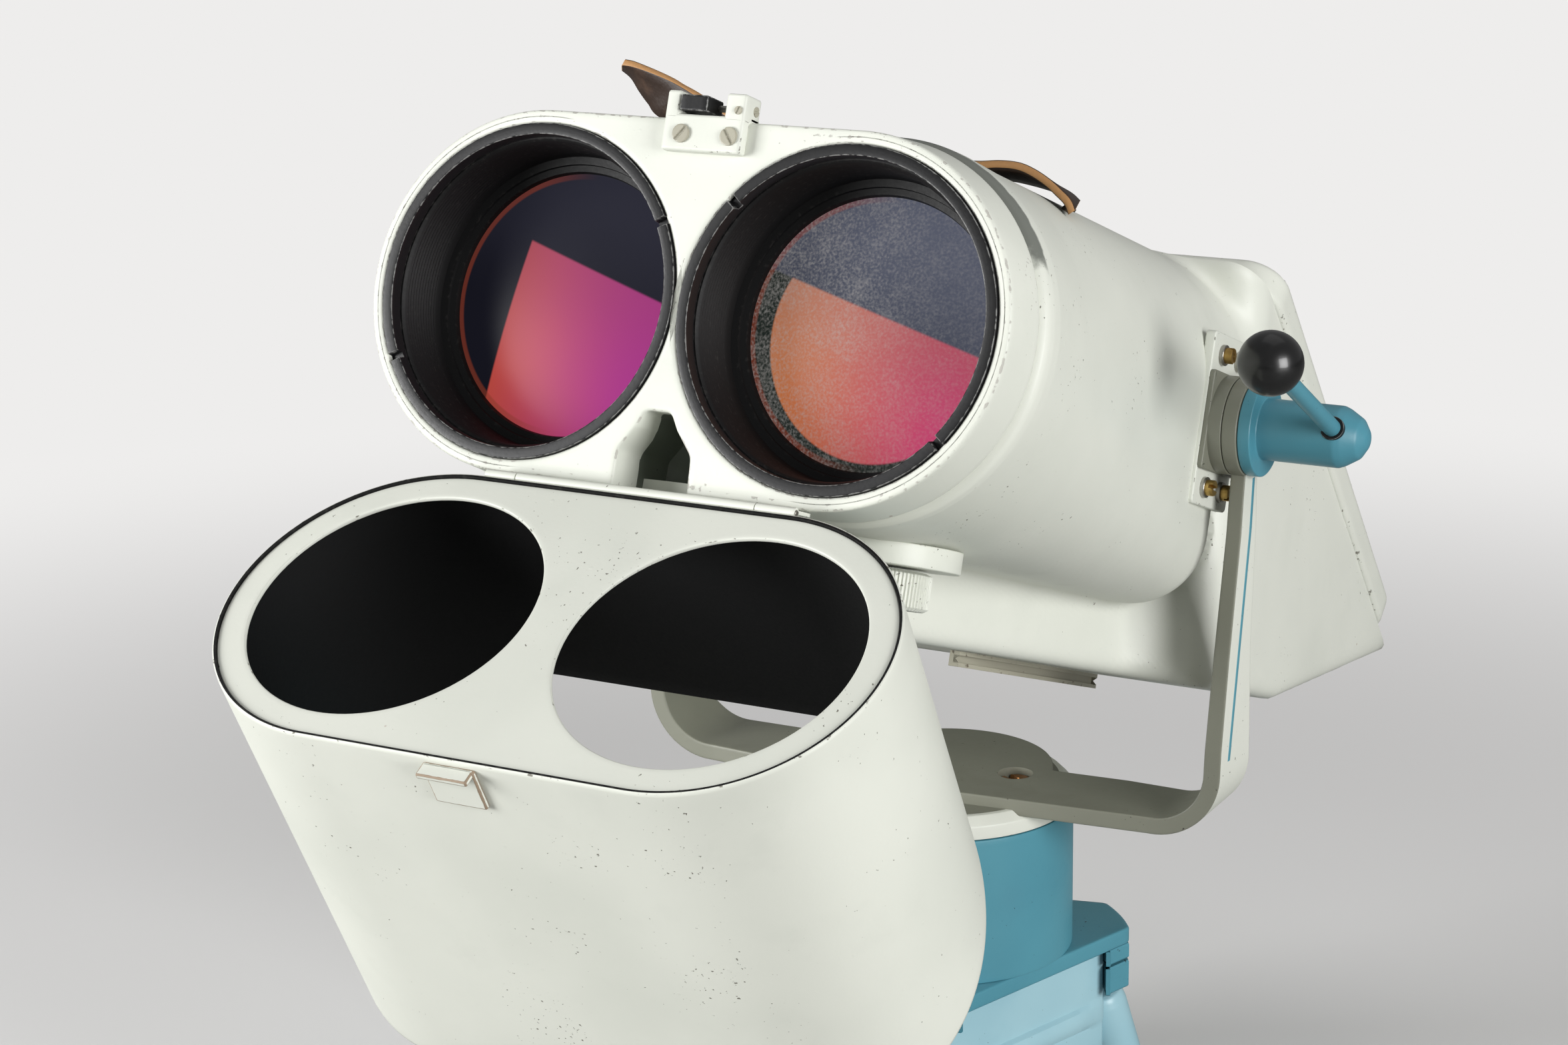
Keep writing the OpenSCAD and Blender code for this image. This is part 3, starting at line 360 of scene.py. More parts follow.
def casting_skin():
    """Rows are planes that stand square to the tubes and then fan out about a line over the body, to end
    in the rear cover's seat; columns are rays in each plane, and bisection along a ray finds the skin."""
    square = np.concatenate([np.arange(17, 30, 0.6), np.linspace(30, FAN_BACK, 86)])
    fan = np.radians(np.concatenate([np.arange(0.35, 14, 0.38), np.linspace(14, 60, 38)]))
    backs = np.concatenate([square, np.full(len(fan), FAN_BACK)])[:, None]
    turn = np.concatenate([np.zeros(len(square)), fan])[:, None]
    middle = 71 + 34 * turn / np.radians(60)
    around = np.linspace(0, 2 * math.pi, 380, endpoint=False)[None, :]

    def at(radius):
        down = middle + radius * np.sin(around)
        return np.stack([radius * np.cos(around), backs + down * np.sin(turn), FAN_TOP - down * np.cos(turn)], -1)

    near, far = np.zeros((len(backs), around.size)), np.full((len(backs), around.size), 190.0)
    for _ in range(22):
        half = (near + far) / 2
        inside = casting_distance(*np.moveaxis(at(half), -1, 0)) < 0
        near, far = np.where(inside, half, near), np.where(inside, far, half)
    lining = at(near - 3.6)[0:1]
    return capped(np.concatenate([lining + np.array([0, 47, 0]), lining, at(near)]))


skin("casting", [casting_skin()], tilted, [CAST], "binocular", "housing", sharp=50)

# The front collar is the machined end of the casting: a flat face with the
# two round wells and an arched recess between them. Paint has built up on
# its corner and has been knocked off in places.

FACE_R = 54.0
RING_R = 50.0
COLLAR = enamel("collar_enamel", *PALE_TONES[:2], srgb(186, 184, 176), wear=0.34)
# The arched recess has the body's pale paint; its dark grey-green here is painted shade.
SHADOWED = enamel("recess_painted_shade", srgb(98, 104, 94), srgb(70, 74, 66), srgb(52, 50, 46), pimples=0.08, wear=0.0)


def arc(centre, radius, start, end, steps):
    """Points on an arc, from one angle in degrees to another."""
    angle = np.radians(np.linspace(start, end, steps))
    return np.stack([centre[0] + radius * np.cos(angle), centre[1] + radius * np.sin(angle)], -1)


def rounded(corners, radii, steps=6):
    """A closed outline whose corners are arcs: each runs between the points where its sides are touched,
    with one more point on each side to keep the wear near the corner."""
    corners = np.asarray(corners, float)
    radii = np.broadcast_to(radii, len(corners))
    outline = []
    for corner, before, after, radius in zip(corners, np.roll(corners, 1, 0), np.roll(corners, -1, 0), radii):
        a, b = before - corner, after - corner
        room = [np.linalg.norm(side) * 0.47 for side in (a, b)]
        a, b = a / np.linalg.norm(a), b / np.linalg.norm(b)
        half = math.acos(np.clip(a @ b, -0.9999, 0.9999)) / 2
        middle = corner + (a + b) / np.linalg.norm(a + b) * radius / math.sin(half)
        reach = radius / math.tan(half)
        touch = [corner + side * reach - middle for side in (a, b)]
        outline.append(corner + a * min(room[0], reach + 1.6))
        for share in np.linspace(0, 1, steps):
            spoke = touch[0] * (1 - share) + touch[1] * share
            outline.append(middle + spoke / np.linalg.norm(spoke) * radius)
        outline.append(corner + b * min(room[1], reach + 1.6))
    return np.array(outline)


def twin_outline(radius, steps=64):
    """Two half circles about the optical axes, joined by straight lines."""
    right = arc((AXIS_HALF, 0), radius, -90, 90, steps)
    return np.concatenate([right, arc((-AXIS_HALF, 0), radius, 90, 270, steps)])


def inset(outline, by):
    """A closed outline moved to its left by a distance, along the mitre of its two sides at each point."""
    ahead = np.roll(outline, -1, 0) - outline
    ahead /= np.linalg.norm(ahead, axis=1, keepdims=True)
    left = np.stack([-ahead[:, 1], ahead[:, 0]], -1)
    before = np.roll(left, 1, 0)
    return outline + by * (left + before) / (1 + (left * before).sum(1, keepdims=True))


def slab(outlines, low, high, bevel, keep=1.2):
    """A flat plate from outlines (the first outside, the others holes): walls with round corners as grids,
    and flat faces as triangles between them, drawn in by keep so that wear stays near the corner."""
    quarter = np.radians(np.linspace(0, 90, 4))
    inward = np.concatenate([[bevel + keep], bevel * (1 - np.sin(quarter)), [0, 0],
                             bevel * (1 - np.cos(quarter)), [bevel + keep]])
    drop = np.concatenate([[0], bevel * (1 - np.cos(quarter))])
    rest = min(keep, (high - low) / 2 - bevel) + bevel
    height = np.concatenate([high - drop, [high - rest, low + rest], (low + drop)[::-1]])
    grids, edges, caps, start = [], ([], []), [], 0
    for number, outline in enumerate(outlines):
        area = (outline[:, 0] * np.roll(outline[:, 1], -1) - outline[:, 1] * np.roll(outline[:, 0], -1)).sum()
        line = outline if (area > 0) == (number == 0) else outline[::-1]
        rows = [np.concatenate([inset(line, by), np.full((len(line), 1), z)], 1) for by, z in zip(inward, height)]
        grids.append(np.array(rows))
        for end, row in ((0, 0), (1, len(rows) - 1)):
            edges[end].append((rows[row], start + row * len(line)))
        start += len(rows) * len(line)
    for rings in edges:
        index = np.concatenate([first + np.arange(len(ring)) for ring, first in rings])
        found = tessellate_polygon([[Vector(point) for point in ring] for ring, _ in rings])
        caps += [index[list(face)].tolist() for face in found]
    return grids, caps


def plate(name, outlines, low, high, bevel, place, finish, body, node=None, shape=np.asarray):
    """A slab made a piece. shape may bend its points before they are placed."""
    grids, caps = slab(outlines, low, high, bevel)
    skin(name, [shape(grid) for grid in grids], place, [finish], body, node, caps=caps)


def facing(points):
    """A plate drawn in (x, z) with its thickness towards the rear, in the body frame."""
    return tilted(points[..., [0, 2, 1]])


def flared(points):
    """The collar's outside widens by 1.5 mm towards its rear end."""
    axis = np.clip(points[..., 0], -AXIS_HALF, AXIS_HALF)
    out = np.stack([points[..., 0] - axis, points[..., 1]], -1)
    grow = 1 + 1.5 / FACE_R * np.clip(points[..., 2] / COLLAR_BACK, 0, 1)
    grow = np.where(np.linalg.norm(out, axis=-1) > 51.5, grow, 1)
    return np.stack([axis + out[..., 0] * grow, out[..., 1] * grow, points[..., 2]], -1)


arch = rounded([(-12.2, -60), (-12, -43), (-7, -36), (-4.6, -31), (3.6, -31), (6.4, -36), (12, -43), (12.6, -60)],
               [0.5, 5, 3, 2.6, 2.6, 3, 5, 0.5])[8:-8]
arch = np.concatenate([[(-12.2, -FACE_R)], arch, [(12.5, -FACE_R)]])
wells = [arc((side * AXIS_HALF, 0), RING_R + 0.1, 0, 357, 120) for side in (-1, 1)]
plate("front_collar", [np.concatenate([twin_outline(FACE_R), arch]), *wells], 0, COLLAR_BACK, 0.9, facing, COLLAR,
      "binocular", shape=flared)
pocket_middle = np.array([0, 0, -48.0])
pocket_rim = np.stack([arch[:, 0] * 1.03, 0 * arch[:, 0], arch[:, 1] + 0.3], -1) - pocket_middle
pocket = [pocket_middle + pocket_rim * shrink + np.array([0, deep, 0])
          for deep, shrink in ((0.6, 1), (14, 0.97), (27, 0.8), (31, 0))]
# The pocket behind the arch takes the painted-shade finish.
recess = skin("arch_recess", [np.array(pocket)], tilted, [SHADOWED], "binocular")
recess.modifiers.new("wall", "SOLIDIFY").thickness = -1.2 * MM

# The stand-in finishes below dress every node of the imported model, so that
# what shows through a gap or in a pose has its own material.

BLUE = enamel("teal_enamel", srgb(84, 148, 164), srgb(68, 130, 148), srgb(24, 34, 38), pimples=0.02, wear=0.2,
              gloss=0.3)
SKY = enamel("light_blue_enamel", srgb(164, 202, 212), srgb(138, 182, 196), srgb(60, 66, 66), wear=0.2, gloss=0.28)
# A darker grey-green enamel. On the yoke bar's edges, inner face and foot top, and on the pale ring's flat top, it is
# painted shade over what is the body's pale paint.
OLIVE_AND_PAINTED_SHADE = enamel("olive_and_painted_shade", srgb(128, 129, 116), srgb(114, 115, 103), srgb(60, 56, 50), wear=0.2, gloss=0.36)


def bright_metal(name, colour, stain, rough):
    """Turned or plated metal: fine tool marks, stains and a duller skin in patches."""
    metal = Finish(name, metallic=1.0)
    patch = metal.noise(9, 4, 1.0).step(0.45, 0.7)
    marks = metal.noise(0.5, 2, 2.0, (1, 6, 1))
    return metal.finished(metal.mix(patch * 0.6, colour, stain), rough + patch * 0.18 + marks * 0.1,
                          metal.bump(marks * 0.01))


def black_coat(name, tone, worn_tone, rough, wear=0.42):
    """Black lacquer on metal, rubbed grey along its corners."""
    coat = Finish(name, specular=0.3)
    rub = (coat.mark("edge") * wear + coat.noise(1.6, 3, 1.0)).step(0.78, 0.98)
    fine = coat.noise(0.9, 2, 2.0)
    return coat.finished(coat.mix(rub, tone, worn_tone), rough + fine * 0.16, coat.bump(fine * 0.02))


def clear_glass():
    glass = Finish("prism_glass")
    glass.shader.inputs["Transmission Weight"].default_value = 0.9
    return glass.finished(srgb(210, 222, 214), 0.03 + glass.noise(16, 3, 1.0).step(0.5, 0.8) * 0.06)


def leather():
    """Dark strap leather: a fine pebble grain, cracks along it and a tan cut edge."""
    hide = Finish("strap_leather", specular=0.35)
    worn = hide.noise(9, 4, 2.0).step(0.5, 0.72)
    colour = hide.mix(worn * 0.5, srgb(48, 34, 26), srgb(88, 64, 48))
    colour = hide.mix(hide.mark("cut").step(0.35, 0.6), colour, srgb(176, 132, 86))
    grain = hide.cells(1.3, 1.0) * 0.08 + hide.noise(4, 3, 3.0) * 0.1
    return hide.finished(colour, 0.5 + worn * 0.15, hide.bump(grain))


STEEL = bright_metal("bright_steel", srgb(176, 174, 168), srgb(120, 112, 100), 0.26)
DARK_STEEL = bright_metal("dark_steel", srgb(92, 86, 78), srgb(70, 48, 34), 0.42)
BRASS = bright_metal("brass", srgb(196, 164, 98), srgb(122, 94, 54), 0.3)
BRONZE = bright_metal("bronze", srgb(170, 122, 78), srgb(104, 74, 48), 0.34)
BLACK = black_coat("black_lacquer", srgb(26, 26, 27), srgb(120, 120, 118), 0.3)
MATT = black_coat("matt_black", srgb(9, 9, 10), srgb(34, 33, 32), 0.5, 0.3)
RUBBER = black_coat("rubber", srgb(30, 30, 31), srgb(52, 52, 50), 0.68, 0.2)
BALL = Finish("ball_black", coat=0.3)
BALL = BALL.finished(srgb(12, 12, 13), 0.3 + BALL.noise(3, 3, 1.0).step(0.5, 0.8) * 0.12)
GLASS = clear_glass()
LEATHER = leather()
stand_ins = {"body_paint": PALE, "alloy_paint": PALE, "blue_paint": BLUE, "head_blue": SKY, "black_paint": BLACK,
             "bare_steel": STEEL, "dark_steel": DARK_STEEL, "brass": BRASS, "bronze": BRONZE, "ball_black": BALL,
             "cup_rubber": RUBBER, "glass": GLASS, "strap_leather": LEATHER}
for node, slot in slot_of.items():
    held = frame["nodes"][node].data.materials
    held.clear()
    held.append(stand_ins[slot])

# Each objective has a screwed black ring in the face, with two notches for a
# spanner, and behind it the lacquered cell that holds the lens. The lens is
# coated; its magenta, orange and blue-violet reflection is painted into its
# colour, which also shines by emission.

RING_IN = 46.6
LENS_R = 41.9
LENS_BACK = 27.0
LENS_CURVE = 250.0


def fillet(profile, radius, steps=3):
    """An open profile whose inner corners are rounded by small arcs of that radius, with one more point
    beyond each end of an arc to keep the wear near the corner."""
    profile = np.asarray(profile, float)
    line = [profile[0]]
    for before, corner, after in zip(profile[:-2], profile[1:-1], profile[2:]):
        a, b = before - corner, after - corner
        far, near = np.linalg.norm(a), np.linalg.norm(b)
        a, b = a / far, b / near
        reach = min(radius, far * 0.3, near * 0.3)
        line.append(corner + a * min(far * 0.45, reach * 2 + 1))
        for share in np.linspace(0, 1, steps + 1):
            line.append(corner + a * reach * (1 - share) ** 2 + b * reach * share ** 2)
        line.append(corner + b * min(near * 0.45, reach * 2 + 1))
    line.append(profile[-1])
    return np.array(line)


def across_from(axis):
    """Two directions that stand square to an axis and to each other, after the axis itself."""
    axis = np.asarray(axis, float) / np.linalg.norm(axis)
    side = np.cross(axis, (0, 0, 1) if abs(axis[2]) < 0.9 else (1, 0, 0))
    side /= np.linalg.norm(side)
    return axis, side, np.cross(axis, side)


def lathe(profile, centre, axis=(0, 1, 0), turns=96):
    """A profile of (radius, height) points turned about an axis: centre + height * axis + radius * spoke."""
    axis, side, other = across_from(axis)
    angle = np.linspace(0, 2 * math.pi, turns, endpoint=False)
    spoke = np.cos(angle)[:, None] * side + np.sin(angle)[:, None] * other
    profile = np.asarray(profile, float)
    return np.asarray(centre, float) + profile[:, None, 1:2] * axis + profile[:, None, 0:1] * spoke[None]


def turned(name, line, at, axis, turns, place, finish, body, node=None, sharp=32):
    """A lathed profile made a piece."""
    skin(name, [lathe(line, at, axis, turns)], place, [finish], body, node, sharp)


def notched_ring(side, notch_angle):
    """The face ring: a turned loop whose front sinks by 2.4 mm at two opposite notches."""
    loop = fillet([(RING_IN, 3), (RING_IN, -0.8), (RING_R, -0.8), (RING_R, 4), (RING_IN, 4), (RING_IN, 3)], 0.45)
    ring = lathe(loop, (side * AXIS_HALF, 0, 0), turns=720)
    spin = np.degrees(np.arctan2(ring[..., 2], ring[..., 0] - side * AXIS_HALF))
    off = np.abs((spin - notch_angle + 90) % 180 - 90)
    ring[..., 1] = np.where((off < 1.35) & (ring[..., 1] < 1), 1.7, ring[..., 1])
    return ring


def objective_glass(name, middle, line, side_line, circle, reflection_tints, above, frosting):
    """Glass over a dark tube, whose reflection is painted into its colour and also shines by emission: a lit field
    that lies under one line (x, z, fall), right of another (x, z, lean) and inside a circle (x, z, radius), tinted
    from its left and right upper parts to its left and right lower ones; over the lines a painted dark blue-grey
    reflection, and under them beyond the circle dark."""
    lens = Finish(name, coat=0.05, specular=0.06)
    across, _, z = lens.body_place()
    x = across - middle
    wave = (lens.noise(18, 2, 1.0) - 0.5) * 5
    under = (z - line[1] + (x - line[0]) * line[2]).step(0.5, -0.5)
    right = (x - side_line[0] - (z - side_line[1]) * side_line[2]).step(-0.4, 0.4)
    reach = ((x - circle[0]) * (x - circle[0]) + (z - circle[1]) * (z - circle[1])).root()
    within = reach.step(circle[2] + 0.4, circle[2] - 0.4)
    rightwards, downwards = (x + wave).step(-34, 34), (z + wave + x * 0.2).step(16, -34)
    painted_reflection_field = lens.mix(downwards, lens.mix(rightwards, *reflection_tints[:2]), lens.mix(rightwards, *reflection_tints[2:]))
    painted_slate_reflection = lens.mix((z + x * 0.3 + wave * 2).step(-12, 40), *above)
    # A painted orange-red arc of reflected light near the rim.
    painted_rim_reflection = ((x * x + z * z).root() + wave * 0.06).step(38.0, 38.7) * x.step(4, -20) * 0.5
    colour = lens.mix(under * right, painted_slate_reflection, lens.mix(within, srgb(34, 42, 38), painted_reflection_field))
    grain = (lens.noise(0.8, 4, 2.0) + lens.noise(12, 2, 3.0) * 0.35).step(0.5, 1.1)
    frosted = grain * (0.35 + x.step(30, -24) * 0.65) * frosting
    colour = lens.mix(frosted, lens.mix(painted_rim_reflection, colour, srgb(150, 66, 44)), srgb(188, 184, 180))
    # The painted colour also goes to emission, so the lens shines though it is no lamp.
    lens.feed(lens.shader.inputs["Emission Color"], colour)
    lens.shader.inputs["Emission Strength"].default_value = 0.62
    lens.shader.inputs["Coat Roughness"].default_value = 0.3
    return lens.finished(lens.mix(0.7, colour, srgb(0, 0, 0)), 0.3 + frosted * 0.4)


left_lens_with_painted_reflection = objective_glass(
    "painted_reflection_glass_left", -AXIS_HALF, (-16.2, 18.2, 0.32), (-16.2, 18.2, 0.19), (0, 0, 50),
    (srgb(178, 84, 84), srgb(168, 62, 128), srgb(208, 84, 66), srgb(178, 54, 150)),
    (srgb(26, 26, 36), srgb(46, 46, 58)), 0.0)
right_lens_with_painted_reflection = objective_glass(
    "painted_reflection_glass_right", AXIS_HALF, (-27.6, 13.9, 0.287), (-60, 0, 0.0), (2.3, -2.6, 34.8),
    (srgb(190, 132, 108), srgb(178, 84, 98), srgb(206, 120, 62), srgb(206, 62, 120)),
    (srgb(66, 70, 84), srgb(92, 96, 112)), 0.6)
thread = [(45.4 - 0.35 * (k % 2), 5 + 0.7 * k) for k in range(24)]
cell_line = [(47.8, 4), (46.2, 4), (45.6, 4.6), *thread, (44.6, 23), (42.4, 23.6), (42.2, 24.4), (40.4, 25),
             (40.0, 26.4), (40.0, 27.6), (42.2, 28), (42.2, 60), (47.8, 62), (47.8, 4)]
lens_line = [(LENS_CURVE * math.sin(a), LENS_BACK - 3.5 + LENS_CURVE * (1 - math.cos(a)))
             for a in np.linspace(0, math.asin(LENS_R / LENS_CURVE), 24)]
for side, word, notch, reflection_painted_lens in ((-1, "left", 29, left_lens_with_painted_reflection), (1, "right", -40, right_lens_with_painted_reflection)):
    at = (side * AXIS_HALF, 0, 0)
    skin(f"face_ring_{word}", [notched_ring(side, notch)], tilted, [BLACK], "binocular", f"bezel_{word}", sharp=40)
    turned(f"cell_{word}_turned", cell_line, at, (0, 1, 0), 128, tilted, MATT, "binocular", f"cell_{word}", sharp=24)
    turned(f"objective_{word}", [*lens_line, (LENS_R, 36), (0, 36)], at, (0, 1, 0), 128, tilted, reflection_painted_lens,
           "binocular", f"lens_{word}", sharp=30)

# The rear cover is a flat casting, bolted to the sloping end of the prism
# housing. The two eyepiece swivels stand on it.

COVER_SLOPE = math.radians(30)
COVER_HALF, COVER_LONG, COVER_THICK = 96.5, 211.0, 12.0
COVER_BACK, COVER_TOP = 233.0, 61.7


def on_cover(points):
    """Cover frame (x, down the slope, out of the cover) to row frame."""
    points = np.asarray(points, float)
    down, out = points[..., 1], points[..., 2]
    cos, sin = math.cos(COVER_SLOPE), math.sin(COVER_SLOPE)
    return tilted(np.stack([points[..., 0], COVER_BACK + down * cos + out * sin,
                            COVER_TOP - down * sin + out * cos], -1))


def box_outline(x0, y0, x1, y1, corner, steps=6):
    return rounded([(x0, y0), (x1, y0), (x1, y1), (x0, y1)], corner, steps)


def slotted(radius, height, base, axis=(0, 0, 1), slot=None, tilt=0.4):
    """A cheese head with a slot, as one height field: rings and spokes, with the slot's floor let down."""
    slot = slot or radius * 0.24
    reach = np.concatenate([np.linspace(0, radius * 0.88, 9), [radius * 0.95, radius, radius, radius]])
    top = np.concatenate([np.full(9, height), [height * 0.97, height * 0.86, height * 0.5, 0]])[:, None]
    angle = np.linspace(0, 2 * math.pi, 96, endpoint=False)
    x, y = reach[:, None] * np.cos(angle), reach[:, None] * np.sin(angle)
    across = -x * math.sin(tilt) + y * math.cos(tilt)
    level = np.where(np.abs(across) < slot, np.minimum(top, height * 0.45), top)
    field = np.concatenate([np.stack([x, y, level], -1), np.zeros((1, 96, 3))])
    up, side, other = across_from(axis)
    return field[..., 0:1] * side + field[..., 1:2] * other + field[..., 2:3] * up + np.asarray(base, float)


plate("rear_cover_cast", [box_outline(-COVER_HALF, 0, COVER_HALF, COVER_LONG, 14, 10)], -COVER_THICK, 0, 2.4,
      on_cover, PALE, "binocular", "rear_cover")
cover_bolts = [slotted(3.6, 1.9, (side * (COVER_HALF - 6), 14 + 61 * k, -0.1), tilt=0.7 * k + side)
               for side in (-1, 1) for k in range(4)]
skin("cover_bolts", cover_bolts, on_cover, [STEEL], "binocular", "cover_screws")

# The trunnions: on each side a flange with four brass screws, a square boss
# and a turned disc that runs in the eye of the yoke's arm.

PAD_X = 97.0
FLANGE_OUT = PAD_X + 2.5


def across(points, side):
    """A plate drawn in (y from the pivot, z) with its thickness outwards along x, on one side."""
    return tilted(np.stack([side * points[..., 2], points[..., 0] + PIVOT_BACK, points[..., 1]], -1))


flange, boss = box_outline(-16, -27.5, 16, 28.5, 1.6), box_outline(-16, -16, 16, 16, 1.2)
disc = fillet([(0, 100.5), (16, 100.5), (16, 105.5), (0, 105.5)], 0.5)
washer = fillet([(1.5, 0), (3.4, 0), (3.4, 1.5), (1.5, 1.5), (1.5, 0)], 0.3)
for side, word, plates, fixings in ((-1, "left", None, None), (1, "right", "trunnion_plates", "trunnion_fixings")):
    out = (side, 0, 0)
    place_here = lambda points, side=side: across(points, side)
    plate(f"trunnion_flange_{word}", [flange], PAD_X - 1, FLANGE_OUT, 0.5, place_here, PALE, "binocular", plates)
    plate(f"trunnion_boss_{word}", [boss], FLANGE_OUT - 0.2, 101.1, 0.4, place_here, OLIVE_AND_PAINTED_SHADE, "binocular")
    turned(f"trunnion_disc_{word}", disc * np.array([1, side]), (0, PIVOT_BACK, 0), (1, 0, 0), 128, tilted, OLIVE_AND_PAINTED_SHADE,
           "binocular")
    places = [(y, z, np.array([side * FLANGE_OUT, PIVOT_BACK + y, z])) for y in (-7.5, 7.5) for z in (-21.5, 21.5)]
    screws = [slotted(2.6, 2.5, at + 1.5 * np.array(out), out, tilt=0.5 * y + z) for y, z, at in places]
    skin(f"trunnion_screws_{word}", screws, tilted, [BRASS], "binocular", fixings)
    skin(f"trunnion_washers_{word}", [lathe(washer, at, out, 48) for _, _, at in places], tilted, [STEEL],
         "binocular")

# The yoke is one flat bar, bent up at both ends and widened in the middle to
# a disc that is screwed down on the column. A blue line is let into each arm.

RIM_Z, DISC_Z = 120.0, 126.0
BEND_R = 24.0
LOBE_R = 37.0
SCREW_X, SCREW_Y = 26.0, 2.6
LINE_TOP, LINE_LONG = 17.0, 94.0


def arm_outside(z):
    """The arms lean in towards the foot: how far out their outer faces stand at a height."""
    return np.interp(z, [150, 230], [108.3, 110.7])


def arm_edges(way, path_x):
    """Front and back edge of the bar: slim at the eyes, wide at the bend, straight before the column, and
    behind it a round lobe that runs into the bar in a fillet."""
    front = np.interp(way, [0, 23, 76, 106, 163, 242], [-4, -7.8, -14.3, -17.2, -17.6, -24.5])
    back = np.interp(way, [0, 24, 74, 106, 140, 182, 206], [4, 5, 5.8, 9.3, 12.5, 13, 11.2])
    lobe = np.sqrt(np.maximum(LOBE_R ** 2 - path_x ** 2, 0)) + 1.8
    return front, np.where(np.abs(path_x) < 60, np.logaddexp(back / 1.5, lobe / 1.5) * 1.5, back)


def yoke_bar():
    """A rounded section carried along the bar's outer face (arm, quarter bend, foot, bend, arm): its
    thickness lies inwards from that line and its two edges at the given places before and behind it."""
    drop = np.linspace(PIVOT_Z - 4, DISC_Z + BEND_R, 70)
    bend = np.radians(np.linspace(0, 90, 20))[1:-1]
    knee = arm_outside(DISC_Z) - BEND_R
    line_x = np.concatenate([arm_outside(drop), knee + BEND_R * np.cos(bend), np.linspace(knee, 0, 150)])
    line_z = np.concatenate([drop, DISC_Z + BEND_R - BEND_R * np.sin(bend), np.full(150, DISC_Z)])
    normal = np.concatenate([np.tile([1.0, 0.0], (70, 1)), np.stack([np.cos(bend), -np.sin(bend)], 1),
                             np.tile([0.0, -1.0], (150, 1))])
    line_x, line_z = np.concatenate([line_x, -line_x[-2::-1]]), np.concatenate([line_z, line_z[-2::-1]])
    normal = np.concatenate([normal, normal[-2::-1] * np.array([-1, 1])])
    way = PIVOT_Z - line_z + np.maximum(108 - np.abs(line_x), 0)
    front, back = arm_edges(way, line_x)
    thick = np.interp(way, [0, 20, 110], [5, 5, 5.8])[:, None]
    corner, flat = 0.45, 1.5
    section = []
    for turn, (u, v) in enumerate(((1, 1), (-1, 1), (-1, -1), (1, -1))):
        angle = np.linspace(turn, turn + 1, 4) * math.pi / 2
        ring = [(u, v, math.cos(a), math.sin(a)) for a in angle]
        (_, _, c0, s0), (_, _, c1, s1) = ring[0], ring[-1]
        section += [(u, v, c0 + flat * s0, s0 - flat * c0), *ring, (u, v, c1 - flat * s1, s1 + flat * c1)]
    section = np.array(section)
    out = np.where(section[:, 0] > 0, -corner, corner - thick) + section[:, 2] * corner
    middle, half = (front + back)[:, None] / 2, (back - front)[:, None] / 2
    side = middle + section[None, :, 1] * (half - corner) + section[None, :, 3] * corner
    grid = np.stack([line_x[:, None] + normal[:, 0:1] * out, side, line_z[:, None] + normal[:, 1:2] * out], -1)
    return capped(grid).transpose(1, 0, 2)


def drilled(target, drills):
    """Cuts closed tool meshes out of a piece and keeps the result as its mesh."""
    for drill in drills:
        tool_mesh = woven("drill", [drill], upright)
        shut(tool_mesh)
        tool = bpy.data.objects.new("drill", tool_mesh)
        bpy.context.scene.collection.objects.link(tool)
        cut = target.modifiers.new("cut", "BOOLEAN")
        cut.object, cut.operation, cut.solver = tool, "DIFFERENCE", "EXACT"
        bpy.context.view_layer.update()
        result = bpy.data.meshes.new_from_object(target.evaluated_get(bpy.context.evaluated_depsgraph_get()))
        target.modifiers.remove(cut)
        bpy.data.objects.remove(tool)
        target.data = result
    target.data.attributes.remove(target.data.attributes["edge"])
    settle(target.data, 32)


def arm_line(side):
    """A thin strip that stands 0.16 mm proud of an arm's outer face, as a flat tube down the arm."""
    way = np.linspace(0, 1, 40)
    y, z = 1.6 - 11 * way, PIVOT_Z - LINE_TOP - LINE_LONG * way
    face_x = side * (arm_outside(z)[:, None] + np.array([0, 0.12, 0.16, 0.12, 0]) - 0.02)
    top = np.stack([face_x, y[:, None] + np.array([-1.1, -0.85, 0, 0.85, 1.1]), z[:, None] + 0 * face_x], -1)
    return capped(np.concatenate([top, top[:, ::-1] - np.array([side * 0.3, 0, 0])], 1))


bar = yoke_bar()
# The outer face takes the pale enamel; the edges, inner face and the top of the foot take the darker grey-green enamel
# as painted shade.
yoke = skin("yoke_bar", [bar], upright, [OLIVE_AND_PAINTED_SHADE, PALE], "pan", "yoke", loops=(True, False),
            inner=[len(bar) - 2, len(bar) - 1, 0])
screw_places = [(side * SCREW_X, SCREW_Y, DISC_Z) for side in (-1, 1)]
drilled(yoke, [lathe([(0, 1.2), (6.1, 1.2), (6.1, 12), (0, 12)], at, (0, 0, 1), 64) for at in screw_places])
heads = [slotted(5.5, 2.4, (x, y, z + 1.2), tilt=math.copysign(1, x)) for x, y, z in screw_places]
skin("disc_screws", heads, upright, [BRONZE], "pan", "yoke_screws")
eye_line = fillet([(0, 105.7), (16, 105.7), (16, 110.7), (0, 110.7)], 0.6)
eyes = [lathe(eye_line * np.array([1, side]), (0, 0, PIVOT_Z), (1, 0, 0), 128) for side in (-1, 1)]
skin("arm_eyes", eyes, upright, [OLIVE_AND_PAINTED_SHADE], "pan")
skin("arm_lines", [arm_line(side) for side in (-1, 1)], upright, [BLUE], "pan", "yoke_inlay")
rim_line = fillet([(14, 8), (14, 0.3), (45, 0.3), (45, 5), (42, 8), (14, 8)], 0.4)
# The ring's flat top takes the darker grey-green enamel as painted shade; its chamfer and side keep the pale enamel.
skin("pale_ring", [lathe(rim_line, (0, 0, RIM_Z), (0, 0, 1), 160)], upright, [PALE, OLIVE_AND_PAINTED_SHADE], "pan", "rim_ring",
     inner=[len(rim_line) - 2])

# The clamp: a blue sleeve with a collar and a coned end screws up against the
# arm's eye, turned by a rod with a black ball. A short cap closes the left.

